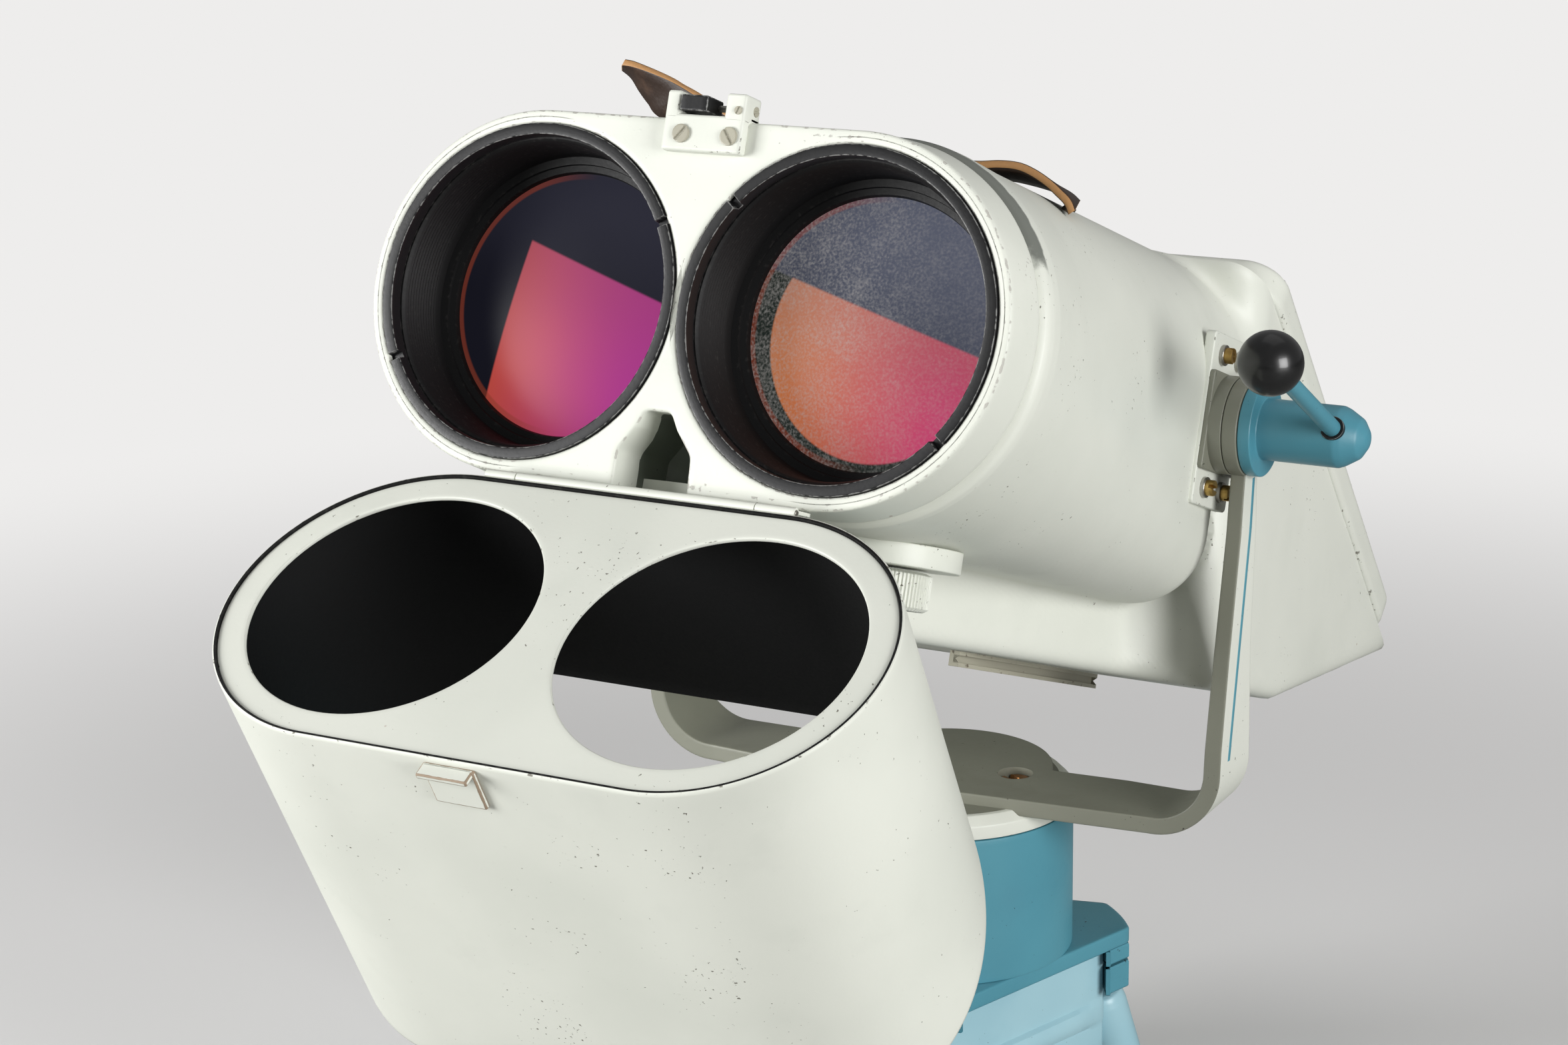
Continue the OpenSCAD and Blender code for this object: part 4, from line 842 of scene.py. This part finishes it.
LEVER_UP = math.radians(29.6)
lever_way = np.array([0, -math.cos(LEVER_UP), math.sin(LEVER_UP)])
lever_foot = np.array([140.0, 0, PIVOT_Z])
sleeve_line = fillet([(0, 110.9), (15.6, 110.9), (15.6, 115.1), (10, 115.1), (10, 140.5), (9.2, 142.5),
                      (6.5, 147), (3, 149.3), (0, 150)], 0.6)
cap_line = fillet([(0, 110.9), (15.6, 110.9), (15.6, 115.1), (10, 115.1), (10, 128), (7, 134), (0, 134.8)], 1.6)
turned("clamp_sleeve_turned", sleeve_line, (0, 0, PIVOT_Z), (1, 0, 0), 128, upright, BLUE, "lever", "clamp_sleeve")
turned("left_cap", cap_line * np.array([1, -1]), (0, 0, PIVOT_Z), (1, 0, 0), 128, upright, BLUE, "pan",
       "trunnion_cap")
rod_line = fillet([(0, 3), (2.8, 3), (2.8, 70), (0, 70)], 0.2)
seat_line = fillet([(2.6, 7), (3.9, 7), (3.9, 9.9), (2.6, 9.9), (2.6, 7)], 0.3)
ball = [(0, 66.6), *[(10 * math.cos(a), 76 + 10 * math.sin(a))
                     for a in np.linspace(-math.pi / 2 + 0.32, math.pi / 2, 40)]]
turned("lever_rod_turned", rod_line, lever_foot, lever_way, 48, upright, BLUE, "lever", "lever_rod")
turned("rod_seat", seat_line, lever_foot, lever_way, 48, upright, BLACK, "lever")
turned("lever_ball_turned", ball, lever_foot, lever_way, 96, upright, BALL, "lever", "lever_ball", sharp=60)

# The column is a turned blue drum. It stands on a three-cornered base plate
# with blocks under its corners, and a jaw under the right rear one.

BASE_TURN = math.radians(-17.3)
THIRD = 2 * math.pi / 3
HEAD_H, PLATE_T = 62.0, 6.0
PLATE_R, PLATE_FLAT = 66.0, 43.0
BLOCK_IN = 55.4


def three_sided(flat, corner, angle):
    """Distance from the centre to a three-sided outline with cut corners, at an angle: the least of
    flat / cos and corner / cos, counted from the nearest flat and the nearest corner."""
    off = (angle - BASE_TURN + THIRD / 2) % THIRD - THIRD / 2
    away = (angle - BASE_TURN) % THIRD - THIRD / 2
    return np.minimum(flat / np.cos(off), corner / np.cos(away))


def plate_reach(angle):
    return np.minimum(three_sided(PLATE_FLAT, 200, angle), PLATE_R)


def corner_block(low, high, number, spread=19.0):
    """The part of the plate's outline that lies outside the head, at one corner, as a closed loft."""
    middle = BASE_TURN + THIRD / 2 + number * THIRD
    angle = middle + np.radians(np.linspace(-spread, spread, 24))
    spoke = np.stack([np.cos(angle), np.sin(angle)], -1)
    inner = (BLOCK_IN / np.cos(angle - middle))[:, None] * spoke
    outline = np.concatenate([plate_reach(angle)[:, None] * spoke, inner[::-1]])
    heights = np.array([low, low, low + 0.6, high - 0.6, high, high])[:, None, None]
    shrink = np.array([0, 0.97, 1, 1, 0.97, 0])[:, None, None]
    centre = outline.mean(0)
    ring = centre + (outline - centre)[None] * shrink
    return np.concatenate([ring, heights + 0 * ring[..., :1]], -1)


turn = np.linspace(0, 2 * math.pi, 240, endpoint=False)
round_about = np.stack([np.cos(turn), np.sin(turn)], -1)
column_line = fillet([(0, 68), (45, 68), (45, 119.9), (41, 119.9), (41, 116), (0, 116)], 0.5)
turned("column_drum", column_line, (0, 0, 0), (0, 0, 1), 160, upright, BLUE, "base", "column")
plate("base_plate_cast", [plate_reach(turn)[:, None] * round_about], HEAD_H, HEAD_H + PLATE_T, 0.8, upright, BLUE,
      "base", "base_plate")
skin("corner_blocks", [corner_block(HEAD_H - 5.5, HEAD_H, k) for k in range(3)], upright, [BLUE], "base")
skin("jaw_block", [corner_block(45.5, 55.5, 0)], upright, [BLUE], "jaw", "clamp_jaw")

# The tripod head is a hollow three-sided casting in lighter blue. A rolled
# rib runs along each panel, and a leg socket leans out at each corner.

HEAD_FLAT = 39.0
LEG_LEAN = math.radians(16)


def head_shell():
    """Rings up the outside, with a half-round rib 38 mm up on the panels, then the hollow's rings."""
    levels = np.array([62, 61.4, 58, 52, 46, 44, 42.6, 41.5, 40, 38, 36, 34.5, 33.4, 32, 28, 23.2, 22.3, 22])
    rib = np.sqrt(np.clip(1 - ((levels - 38) / 4.5) ** 2, 0, 1)) * 2.6
    trim = np.interp(levels, [22, 22.8, 61.4, 62], [0.8, 0, 0, 0.5])
    outer = three_sided(HEAD_FLAT, 55.0, turn)[None] - trim[:, None]
    outer = outer + rib[:, None] * np.clip((58 - outer) / 12, 0, 1)
    inner = np.broadcast_to(three_sided(33.0, 47.0, turn)[None], (3, turn.size))
    pole = np.zeros((1, turn.size))
    radius = np.concatenate([pole, outer, inner, pole])[..., None]
    height = np.concatenate([[62], levels, [22, 30, 55, 55]])[:, None, None]
    return np.concatenate([radius * round_about, height + 0 * radius], -1)


def leg_socket(number):
    """A tube that leans out at a corner: rings along its axis, the lowest ones slid along it to z = 0."""
    angle = BASE_TURN + THIRD / 2 + number * THIRD
    out = np.array([math.cos(angle), math.sin(angle), 0])
    axis = np.array([0, 0, -1]) * math.cos(LEG_LEAN) + out * math.sin(LEG_LEAN)
    line = [(0, -1), (6.4, -1), (8, -0.2), (8.6, 1.4), (9, 4), (9, 40), (9, 60), (6, 60), (6, 15), (0, 15)]
    tube = lathe(fillet(line, 0.5), out * 58 + np.array([0, 0, 39.0]), axis, 64)
    return tube - np.minimum(tube[..., 2:], 0) / axis[2] * axis


def panel_screw(number):
    """Out of the middle of a panel, under the rib."""
    angle = BASE_TURN + number * THIRD
    out = np.array([math.cos(angle), math.sin(angle), 0])
    return slotted(5.4, 3, out * HEAD_FLAT + np.array([0, 0, 28.5]), out, tilt=0.6)


skin("head_casting", [head_shell()], upright, [SKY], "base", "tripod_crown", sharp=28)
skin("leg_sockets", [leg_socket(k) for k in range(3)], upright, [SKY], "base")
skin("panel_screws", [panel_screw(k) for k in range(3)], upright, [BRASS], "base", "crown_screws")

# The hood is a double tube of thin sheet, cut on a curve at its far end and
# blackened inside, with a flat plate let into its near end. It has swung down
# on its hinge under the face.

HINGE_OUT, HINGE_LOW = 5.8, 55.4
HOOD_OPEN = math.radians(138)
HOOD_R, HOOD_WALL = 53.5, 1.2


def hooded(points):
    """Hood frame, as closed before the face, to row frame: y' = y cos - z sin and z' = y sin + z cos about
    the hinge pin, by the angle at which the hood hangs open."""
    points = np.asarray(points, float)
    y, z = points[..., 1] + HINGE_OUT, points[..., 2] + HINGE_LOW
    cos, sin = math.cos(HOOD_OPEN), math.sin(HOOD_OPEN)
    return tilted(np.stack([points[..., 0], y * cos - z * sin - HINGE_OUT, y * sin + z * cos - HINGE_LOW], -1))


def before_face(points):
    """A plate drawn in (x, z) with its thickness towards the front, in the hood frame."""
    return hooded(np.stack([points[..., 0], -points[..., 2], points[..., 1]], -1))


def hood_tube():
    """Rows go out along the outside, over the far lip and back along the inside; columns go round the twin
    outline. The length grows with height: 121 + 0.55 z - 0.0039 z squared."""
    outline = twin_outline(1.0, 96)
    axis = np.sign(outline[:, 0]) * AXIS_HALF
    share = np.concatenate([[0, 0.002], np.linspace(0.01, 0.99, 44), [0.998, 1, 0.998], np.linspace(0.99, 0, 20)])
    wall = np.concatenate([[0.5, 0.1], np.zeros(44), [0.15, 0.6, 1.05], np.full(20, HOOD_WALL)])
    radius = HOOD_R - wall[:, None]
    x, z = axis + (outline[:, 0] - axis) * radius, outline[:, 1] * radius
    length = 121 + 0.55 * z - 0.00392 * z ** 2
    return np.stack([x, -4.5 - share[:, None] * length, z], -1)


tube = hood_tube()
skin("hood_tube", [tube], hooded, [PALE, MATT], "hood", "hood_shell", sharp=60, loops=(True, True),
     inner=np.arange(48, len(tube)))
holes = [arc((side * AXIS_HALF, 0), 43.8, 0, 357, 120) for side in (-1, 1)]
plate("hood_plate_pressed", [twin_outline(HOOD_R - HOOD_WALL), *holes], 5.2, 6.7, 0.5, before_face, PALE, "hood",
      "hood_plate")

# The hood turns on a long knuckle hinge, and its catch is a small bent plate
# on the far side, with a lip that is worn to bare metal.

LEAF_ENDS = (-50.8, -40.5), (39.0, 51.5)
RUSTED = enamel("rusted_lip", *PALE_TONES[:2], srgb(150, 132, 112), wear=0.85, rust=1.6)


def knuckle(start, end):
    line = fillet([(0.9, start), (1.6, start), (1.6, end), (0.9, end), (0.9, start)], 0.25)
    return lathe(line, (0, -HINGE_OUT, -HINGE_LOW), (1, 0, 0), 40)


def blocks(name, boxes, place, finish, body, node, more=()):
    """Boxes with round edges, each given by two corners and a radius, and further grids, made a piece."""
    grids, caps, start = [], [], 0
    for (x0, y0, z0), (x1, y1, z1), corner in boxes:
        made, flats = slab([box_outline(x0, y0, x1, y1, corner, 4)], z0, z1, corner * 0.9, keep=corner * 0.05)
        caps += [[start + vertex for vertex in face] for face in flats]
        start += made[0][..., 0].size
        grids += made
    skin(name, [*grids, *more], place, [finish], body, node, caps=caps)


blocks("fixed_leaf", [((x0, -6.2, -55.7), (x1, 3, -54.5), 0.3) for x0, x1 in LEAF_ENDS], tilted, PALE, "binocular",
       "hinge_leaf", [knuckle(*ends) for ends in LEAF_ENDS])
pin = fillet([(0, -51.3), (0.95, -51.3), (0.95, 51.8), (0, 51.8)], 0.3)
turned("hinge_rod", pin, (0, -HINGE_OUT, -HINGE_LOW), (1, 0, 0), 32, tilted, STEEL, "binocular", "hinge_pin")
blocks("hood_leaf_rolled", [((-40.2, -17.5, -54.7), (38.7, -5.4, -53.5), 0.35)], hooded, PALE, "hood", "hood_leaf",
       [knuckle(-40.2, 38.7)])
blocks("catch_plate", [((-10.5, -20.5, 53.4), (6, -6.4, 55.1), 0.7), ((-10.5, -8.2, 53.6), (5.6, -6.4, 58.4), 0.6)],
       hooded, RUSTED, "hood", "hood_catch")

# The latch block stands on the middle of the face. Two big slotted screws
# hold it, and a worn bar slides in the slot across its top.

PLATED = enamel("plated", srgb(172, 169, 152), srgb(150, 146, 130), srgb(112, 104, 90), gloss=0.3, grain=0.01,
                pimples=0.01)
blocks("latch_housing", [((-10.8, -4, 44), (15.2, 0.2, 54.8), 1.0), ((-10.8, -4, 53), (-6.2, 5.5, 61.5), 0.9),
                         ((8.7, -4, 53), (15.2, 5.5, 61.5), 0.9), ((-10.8, 0.3, 54.2), (15.2, 5.5, 55.5), 0.4)],
       tilted, PALE, "binocular", "latch_block")
blocks("latch_slide", [((-5.8, -4.9, 55.6), (3.2, 4.8, 60.3), 0.6)], tilted, BLACK, "latch", "latch_bar")
latch_heads = [slotted(2.7, 0.8, (-4.4, -4, 48.9), (0, -1, 0), 0.45, 0.9),
               slotted(2.7, 0.8, (11.3, -4, 48.9), (0, -1, 0), 0.45, 2.2),
               slotted(1.2, 0.5, (13.1, -4, 56.6), (0, -1, 0), 0.3, 1.2),
               slotted(1.5, 0.4, (15.1, 2.6, 57.6), (1, 0, 0), 0.3, 0.3)]
skin("latch_screws", latch_heads, tilted, [PLATED], "binocular", "body_screws")

# Under the right tube a knurled knob turns in a round flange, and the two
# plated channel rails of a mounting shoe run along the keel.

KNOB_AT = (46.0, 66.0, 0.0)
PLAIN = enamel("knob_enamel", *PALE_TONES, wear=0.0, rust=0.0)


def knurled(line, centre, axis, teeth, depth):
    """A turned grip: the third and fourth rows of its profile are pulled in at every other pair of spokes."""
    grip = lathe(line, centre, axis, teeth * 4)
    middle, axis = np.asarray(centre, float), np.asarray(axis, float)
    along = ((grip - middle) * axis).sum(-1, keepdims=True)
    spoke = grip - middle - along * axis
    wave = 1 - (np.arange(teeth * 4) % 4 > 1)[None, :, None] * depth
    pulled = np.isin(np.arange(len(grip)), [2, 3])[:, None, None]
    return middle + along * axis + np.where(pulled, spoke * wave, spoke)


def shoe_rail(side):
    """A channel, open outwards, carried along the keel between two closed ends."""
    line = np.array([(34.4, 0.2), (38, 0.2), (38, -1.1), (35.9, -1.1), (35.9, -3.6), (38, -3.6), (38, -4.9),
                     (34.4, -4.9)])
    backs = np.array([148, 148, 148.3, 267.7, 268, 268])[:, None, None]
    rail = line.mean(0) + (line - line.mean(0)) * np.array([0, 0.98, 1, 1, 0.98, 0])[:, None, None]
    return np.concatenate([rail[..., :1] * side, backs + 0 * rail[..., :1], KEEL_LOW - 0.4 + rail[..., 1:]], -1)


flange_line = fillet([(0, -57), (23, -57), (23, -63.9), (0, -63.9)], 0.7)
turned("knob_flange_turned", flange_line, KNOB_AT, (0, 0, 1), 128, tilted, PALE, "binocular", "knob_flange")
knob_line = [(0, -64.8), (13, -64.8), (15, -65.6), (15, -75.4), (13.6, -76.4), (0, -76.6)]
skin("knob_knurled", [knurled(knob_line, KNOB_AT, (0, 0, 1), 72, 0.035)], tilted, [PLAIN], "knob", "filter_knob",
     sharp=20)
skin("shoe_rails", [shoe_rail(side) for side in (-1, 1)], tilted, [PLATED], "binocular", "rail")

# A leather strap lies over the tubes. It is riveted at both feet, and its
# left end stands up as a free tail with a tan cut edge.


def flowing(points, steps=14):
    """A smooth line through points: Catmull-Rom pieces, each a cubic of its four nearest points."""
    points = np.asarray(points, float)
    ends = np.concatenate([[2 * points[0] - points[1]], points, [2 * points[-1] - points[-2]]])
    t = np.linspace(0, 1, steps, endpoint=False)[:, None]
    rows = [0.5 * (2 * b + (c - a) * t + (2 * a - 5 * b + 4 * c - d) * t ** 2 + (3 * b - a - 3 * c + d) * t ** 3)
            for a, b, c, d in zip(ends[:-3], ends[1:-2], ends[2:-1], ends[3:])]
    return np.concatenate([*rows, points[-1:]])


def strip(near, far, thick):
    """A strap between its two edge lines in space: flat sections with round corners, whose thickness stands
    square to the strap's run and width. The second value marks the cut edges and ends."""
    near, far = flowing(near), flowing(far)
    out = np.cross(np.gradient((near + far) / 2, axis=0), far - near)
    out /= np.linalg.norm(out, axis=1, keepdims=True)
    share = np.array([0, 0.03, 0.3, 0.7, 0.97, 1, 1, 0.97, 0.7, 0.3, 0.03, 0])[None, :, None]
    rise = np.array([0.8, 1, 1, 1, 1, 0.8, 0.2, 0, 0, 0, 0, 0.2])[None, :, None] * thick
    grid = capped(near[:, None] * (1 - share) + far[:, None] * share + out[:, None] * rise)
    row = np.arange(len(grid))
    return grid, np.isin(share[0, :, 0], [0, 1]) | ((row < 2) | (row > len(grid) - 3))[:, None]


def at_back(back, line):
    """Points (x, z) at one distance behind the face."""
    return [(x, back, z) for x, z in line]


near_line = at_back(79, [(-84.3, 46.6), (-76, 53.2), (-62, 57.6), (-48, 58.7), (-20, 58.8), (20, 58.8), (42, 58.9),
                         (51, 58.9), (58, 59.6), (64, 59.4), (69, 57.8), (74, 55.2), (78, 52.4), (81, 50),
                         (82.8, 47)])
far_line = at_back(101, [(-85, 47.6), (-76, 53.9), (-62, 58.4), (-48, 59.3), (-20, 59.4), (20, 59.4), (42, 59.4),
                         (50, 59.4), (55, 59.2), (60, 58.5), (64, 57.8), (68, 56.9), (71, 55.8), (73, 54.8),
                         (74.6, 53.8)])
tail_near = at_back(79, [(-10, 61.3), (-24, 62.6), (-38, 70), (-51.1, 76.4), (-59, 79.7), (-68.1, 82.4),
                         (-74.6, 83.8), (-78.6, 84.1)])
tail_far = [(-10, 101, 61.3), (-30, 100, 61.8), (-50, 95, 63)]
tail_far += at_back(90, [(-68.1, 69.7), (-73.7, 74.2), (-77.6, 78.1), (-81.1, 82.1), (-85, 84.6)])
(band, band_cut), (tail, tail_cut) = strip(near_line, far_line, 2.6), strip(tail_far, tail_near, 2.4)
skin("strap_band", [band, tail], tilted, [LEATHER], "binocular", "strap", sharp=80,
     cut=np.concatenate([band_cut.ravel(), tail_cut.ravel()]))
rivet_line = [(0, 3.4), (1.4, 3.3), (2.3, 2.9), (2.5, 2.2), (1.2, 1.6), (1.2, -0.5), (0, -0.5)]
rivets = [lathe(rivet_line, (x, 90, z), (math.copysign(0.72, x), 0, 0.69), 40) for x, z in ((-82.6, 48.6), (76.5, 50))]
skin("strap_rivet_heads", rivets, tilted, [DARK_STEEL], "binocular", "strap_rivets")

# The eyepieces stand on swivelling housings, so that they can be set to the
# eyes. Each has a knurled focusing ring and a rubber cup.

EYE_DOWN, EYE_OFFSET, EYE_SWING = 110.0, 20.0, math.radians(22)
barrel_line = fillet([(13, 22), (13, 46), (18, 46), (18, 44), (17.4, 43.4), (17.4, 41), (18, 40.4), (18, 20.2),
                      (13, 20.2), (13, 22)], 0.35)
ring_line = [(18.05, 23.3), (20.6, 23.3), (22, 24.4), (22, 34.6), (20.4, 36), (19.4, 39.3), (18.05, 39.3),
             (18.05, 23.3)]
cup_line = fillet([(13, 46.3), (18.4, 46.3), (18.2, 49), (19.6, 52), (20.6, 56), (21, 59.6), (20.2, 60.3),
                   (19.2, 59.8), (17.6, 54), (14.4, 50), (13, 49), (13, 46.3)], 0.9)
eye_glass_line = [(40 * math.sin(a), 43 - 40 * (1 - math.cos(a))) for a in np.linspace(0, 0.327, 14)]
for side, word in ((-1, "left"), (1, "right")):
    swing, up = f"swing_{word}", (0, 0, 1)
    swivel = np.array([side * AXIS_HALF, EYE_DOWN, 0])
    eye = swivel - np.array([side * EYE_OFFSET * math.cos(EYE_SWING), EYE_OFFSET * math.sin(EYE_SWING), 0])
    lean = math.degrees(math.atan2(eye[1] - swivel[1], eye[0] - swivel[0]))
    oval = np.concatenate([arc(eye, 25, lean - 90, lean + 90, 40), arc(swivel, 25, lean + 90, lean + 270, 40)])
    plate(f"swivel_{word}", [oval], 0.3, 20.3, 2.2, on_cover, PALE, swing, swing)
    turned(f"barrel_{word}", barrel_line, eye, up, 96, on_cover, BLACK, swing, f"eyepiece_{word}")
    skin(f"focus_ring_{word}", [knurled(ring_line, eye, up, 60, 0.03)], on_cover, [BLACK], f"focus_{word}",
         f"focus_{word}", sharp=20)
    turned(f"cup_{word}", cup_line, eye, up, 96, on_cover, RUBBER, swing, f"eyecup_{word}", sharp=60)
    turned(f"eye_glass_{word}", [*eye_glass_line, (12.9, 38.3), (0, 38.3)], eye, up, 64, on_cover, GLASS, swing,
           f"eye_lens_{word}")

# The stage: a pale floor that fades into the backdrop, a sky that is white to
# the camera and dim to the rest, and soft lamps from the left, right and above.

floor_mesh = bpy.data.meshes.new("floor")
floor_mesh.from_pydata([(-30, -30, 0), (30, -30, 0), (30, 30, 0), (-30, 30, 0)], [], [(0, 1, 2, 3)])
floor = bpy.data.objects.new("floor", floor_mesh)
bpy.context.scene.collection.objects.link(floor)
ground = Finish("pale_floor", specular=0.0)
away = ground.node("ShaderNodeVectorMath", {"operation": "LENGTH"}, {0: ground.place}, 1) / MM
floor_mesh.materials.append(ground.finished(srgb(236, 235, 234), 0.95))
backdrop = ground.node("ShaderNodeEmission", {}, {"Color": srgb(238, 237, 236)})
dim = ground.node("ShaderNodeBsdfDiffuse", {}, {"Color": srgb(150, 150, 148)})
lit = Field(ground, ground.shader.outputs[0])
pale = ground.node("ShaderNodeMixShader", {}, {0: away.step(350, 1100), 1: lit, 2: backdrop})
to_camera = ground.node("ShaderNodeLightPath", {}, {}, "Is Camera Ray")
surface = ground.tree.nodes["Material Output"].inputs["Surface"]
ground.feed(surface, ground.node("ShaderNodeMixShader", {}, {0: to_camera, 1: dim, 2: pale}))

world = bpy.data.worlds.new("studio")
bpy.context.scene.world = world
sky = Shading(world)
seen = sky.node("ShaderNodeLightPath", {}, {}, "Is Camera Ray").or_more(
    sky.node("ShaderNodeLightPath", {}, {}, "Is Transmission Ray"))
background = sky.tree.nodes["Background"].inputs
background["Color"].default_value = (1, 1, 1, 1)
sky.feed(background["Strength"], sky.node("ShaderNodeMapRange", {}, {"Value": seen, "To Min": 0.26, "To Max": 1.0}))


def softbox(name, at, aim, size, power):
    """A square lamp that faces a point."""
    lamp = bpy.data.lights.new(name, "AREA")
    lamp.size, lamp.energy = size, power
    holder = bpy.data.objects.new(name, lamp)
    bpy.context.scene.collection.objects.link(holder)
    holder.location = at
    holder.rotation_euler = (Vector(aim) - Vector(at)).to_track_quat("-Z", "Y").to_euler()


softbox("left", (-1.35, -1.35, 0.45), (0, -0.05, 0.25), 0.9, 43)
softbox("right", (1.65, -0.75, 0.6), (0, 0, 0.25), 0.9, 29)
softbox("top", (0.1, 0.4, 2.0), (0, 0, 0.2), 1.4, 2)

# The camera stands to the right of the front and a little above, as the
# photographer did.

TURN, RISE, ROLL = math.radians(28.62), math.radians(15.446), math.radians(-0.9)
lens = bpy.data.cameras.new("camera")
lens.lens, lens.sensor_width = 75.23, 36
camera = bpy.data.objects.new("camera", lens)
bpy.context.scene.collection.objects.link(camera)
stand = Matrix.Rotation(TURN, 4, "Z") @ Matrix.Rotation(math.pi / 2 - RISE, 4, "X") @ Matrix.Rotation(ROLL, 4, "Z")
camera.matrix_world = Matrix.Translation((0.4687, -0.9728, 0.5181)) @ stand
bpy.context.scene.camera = camera
bpy.context.scene.view_settings.view_transform = "Standard"
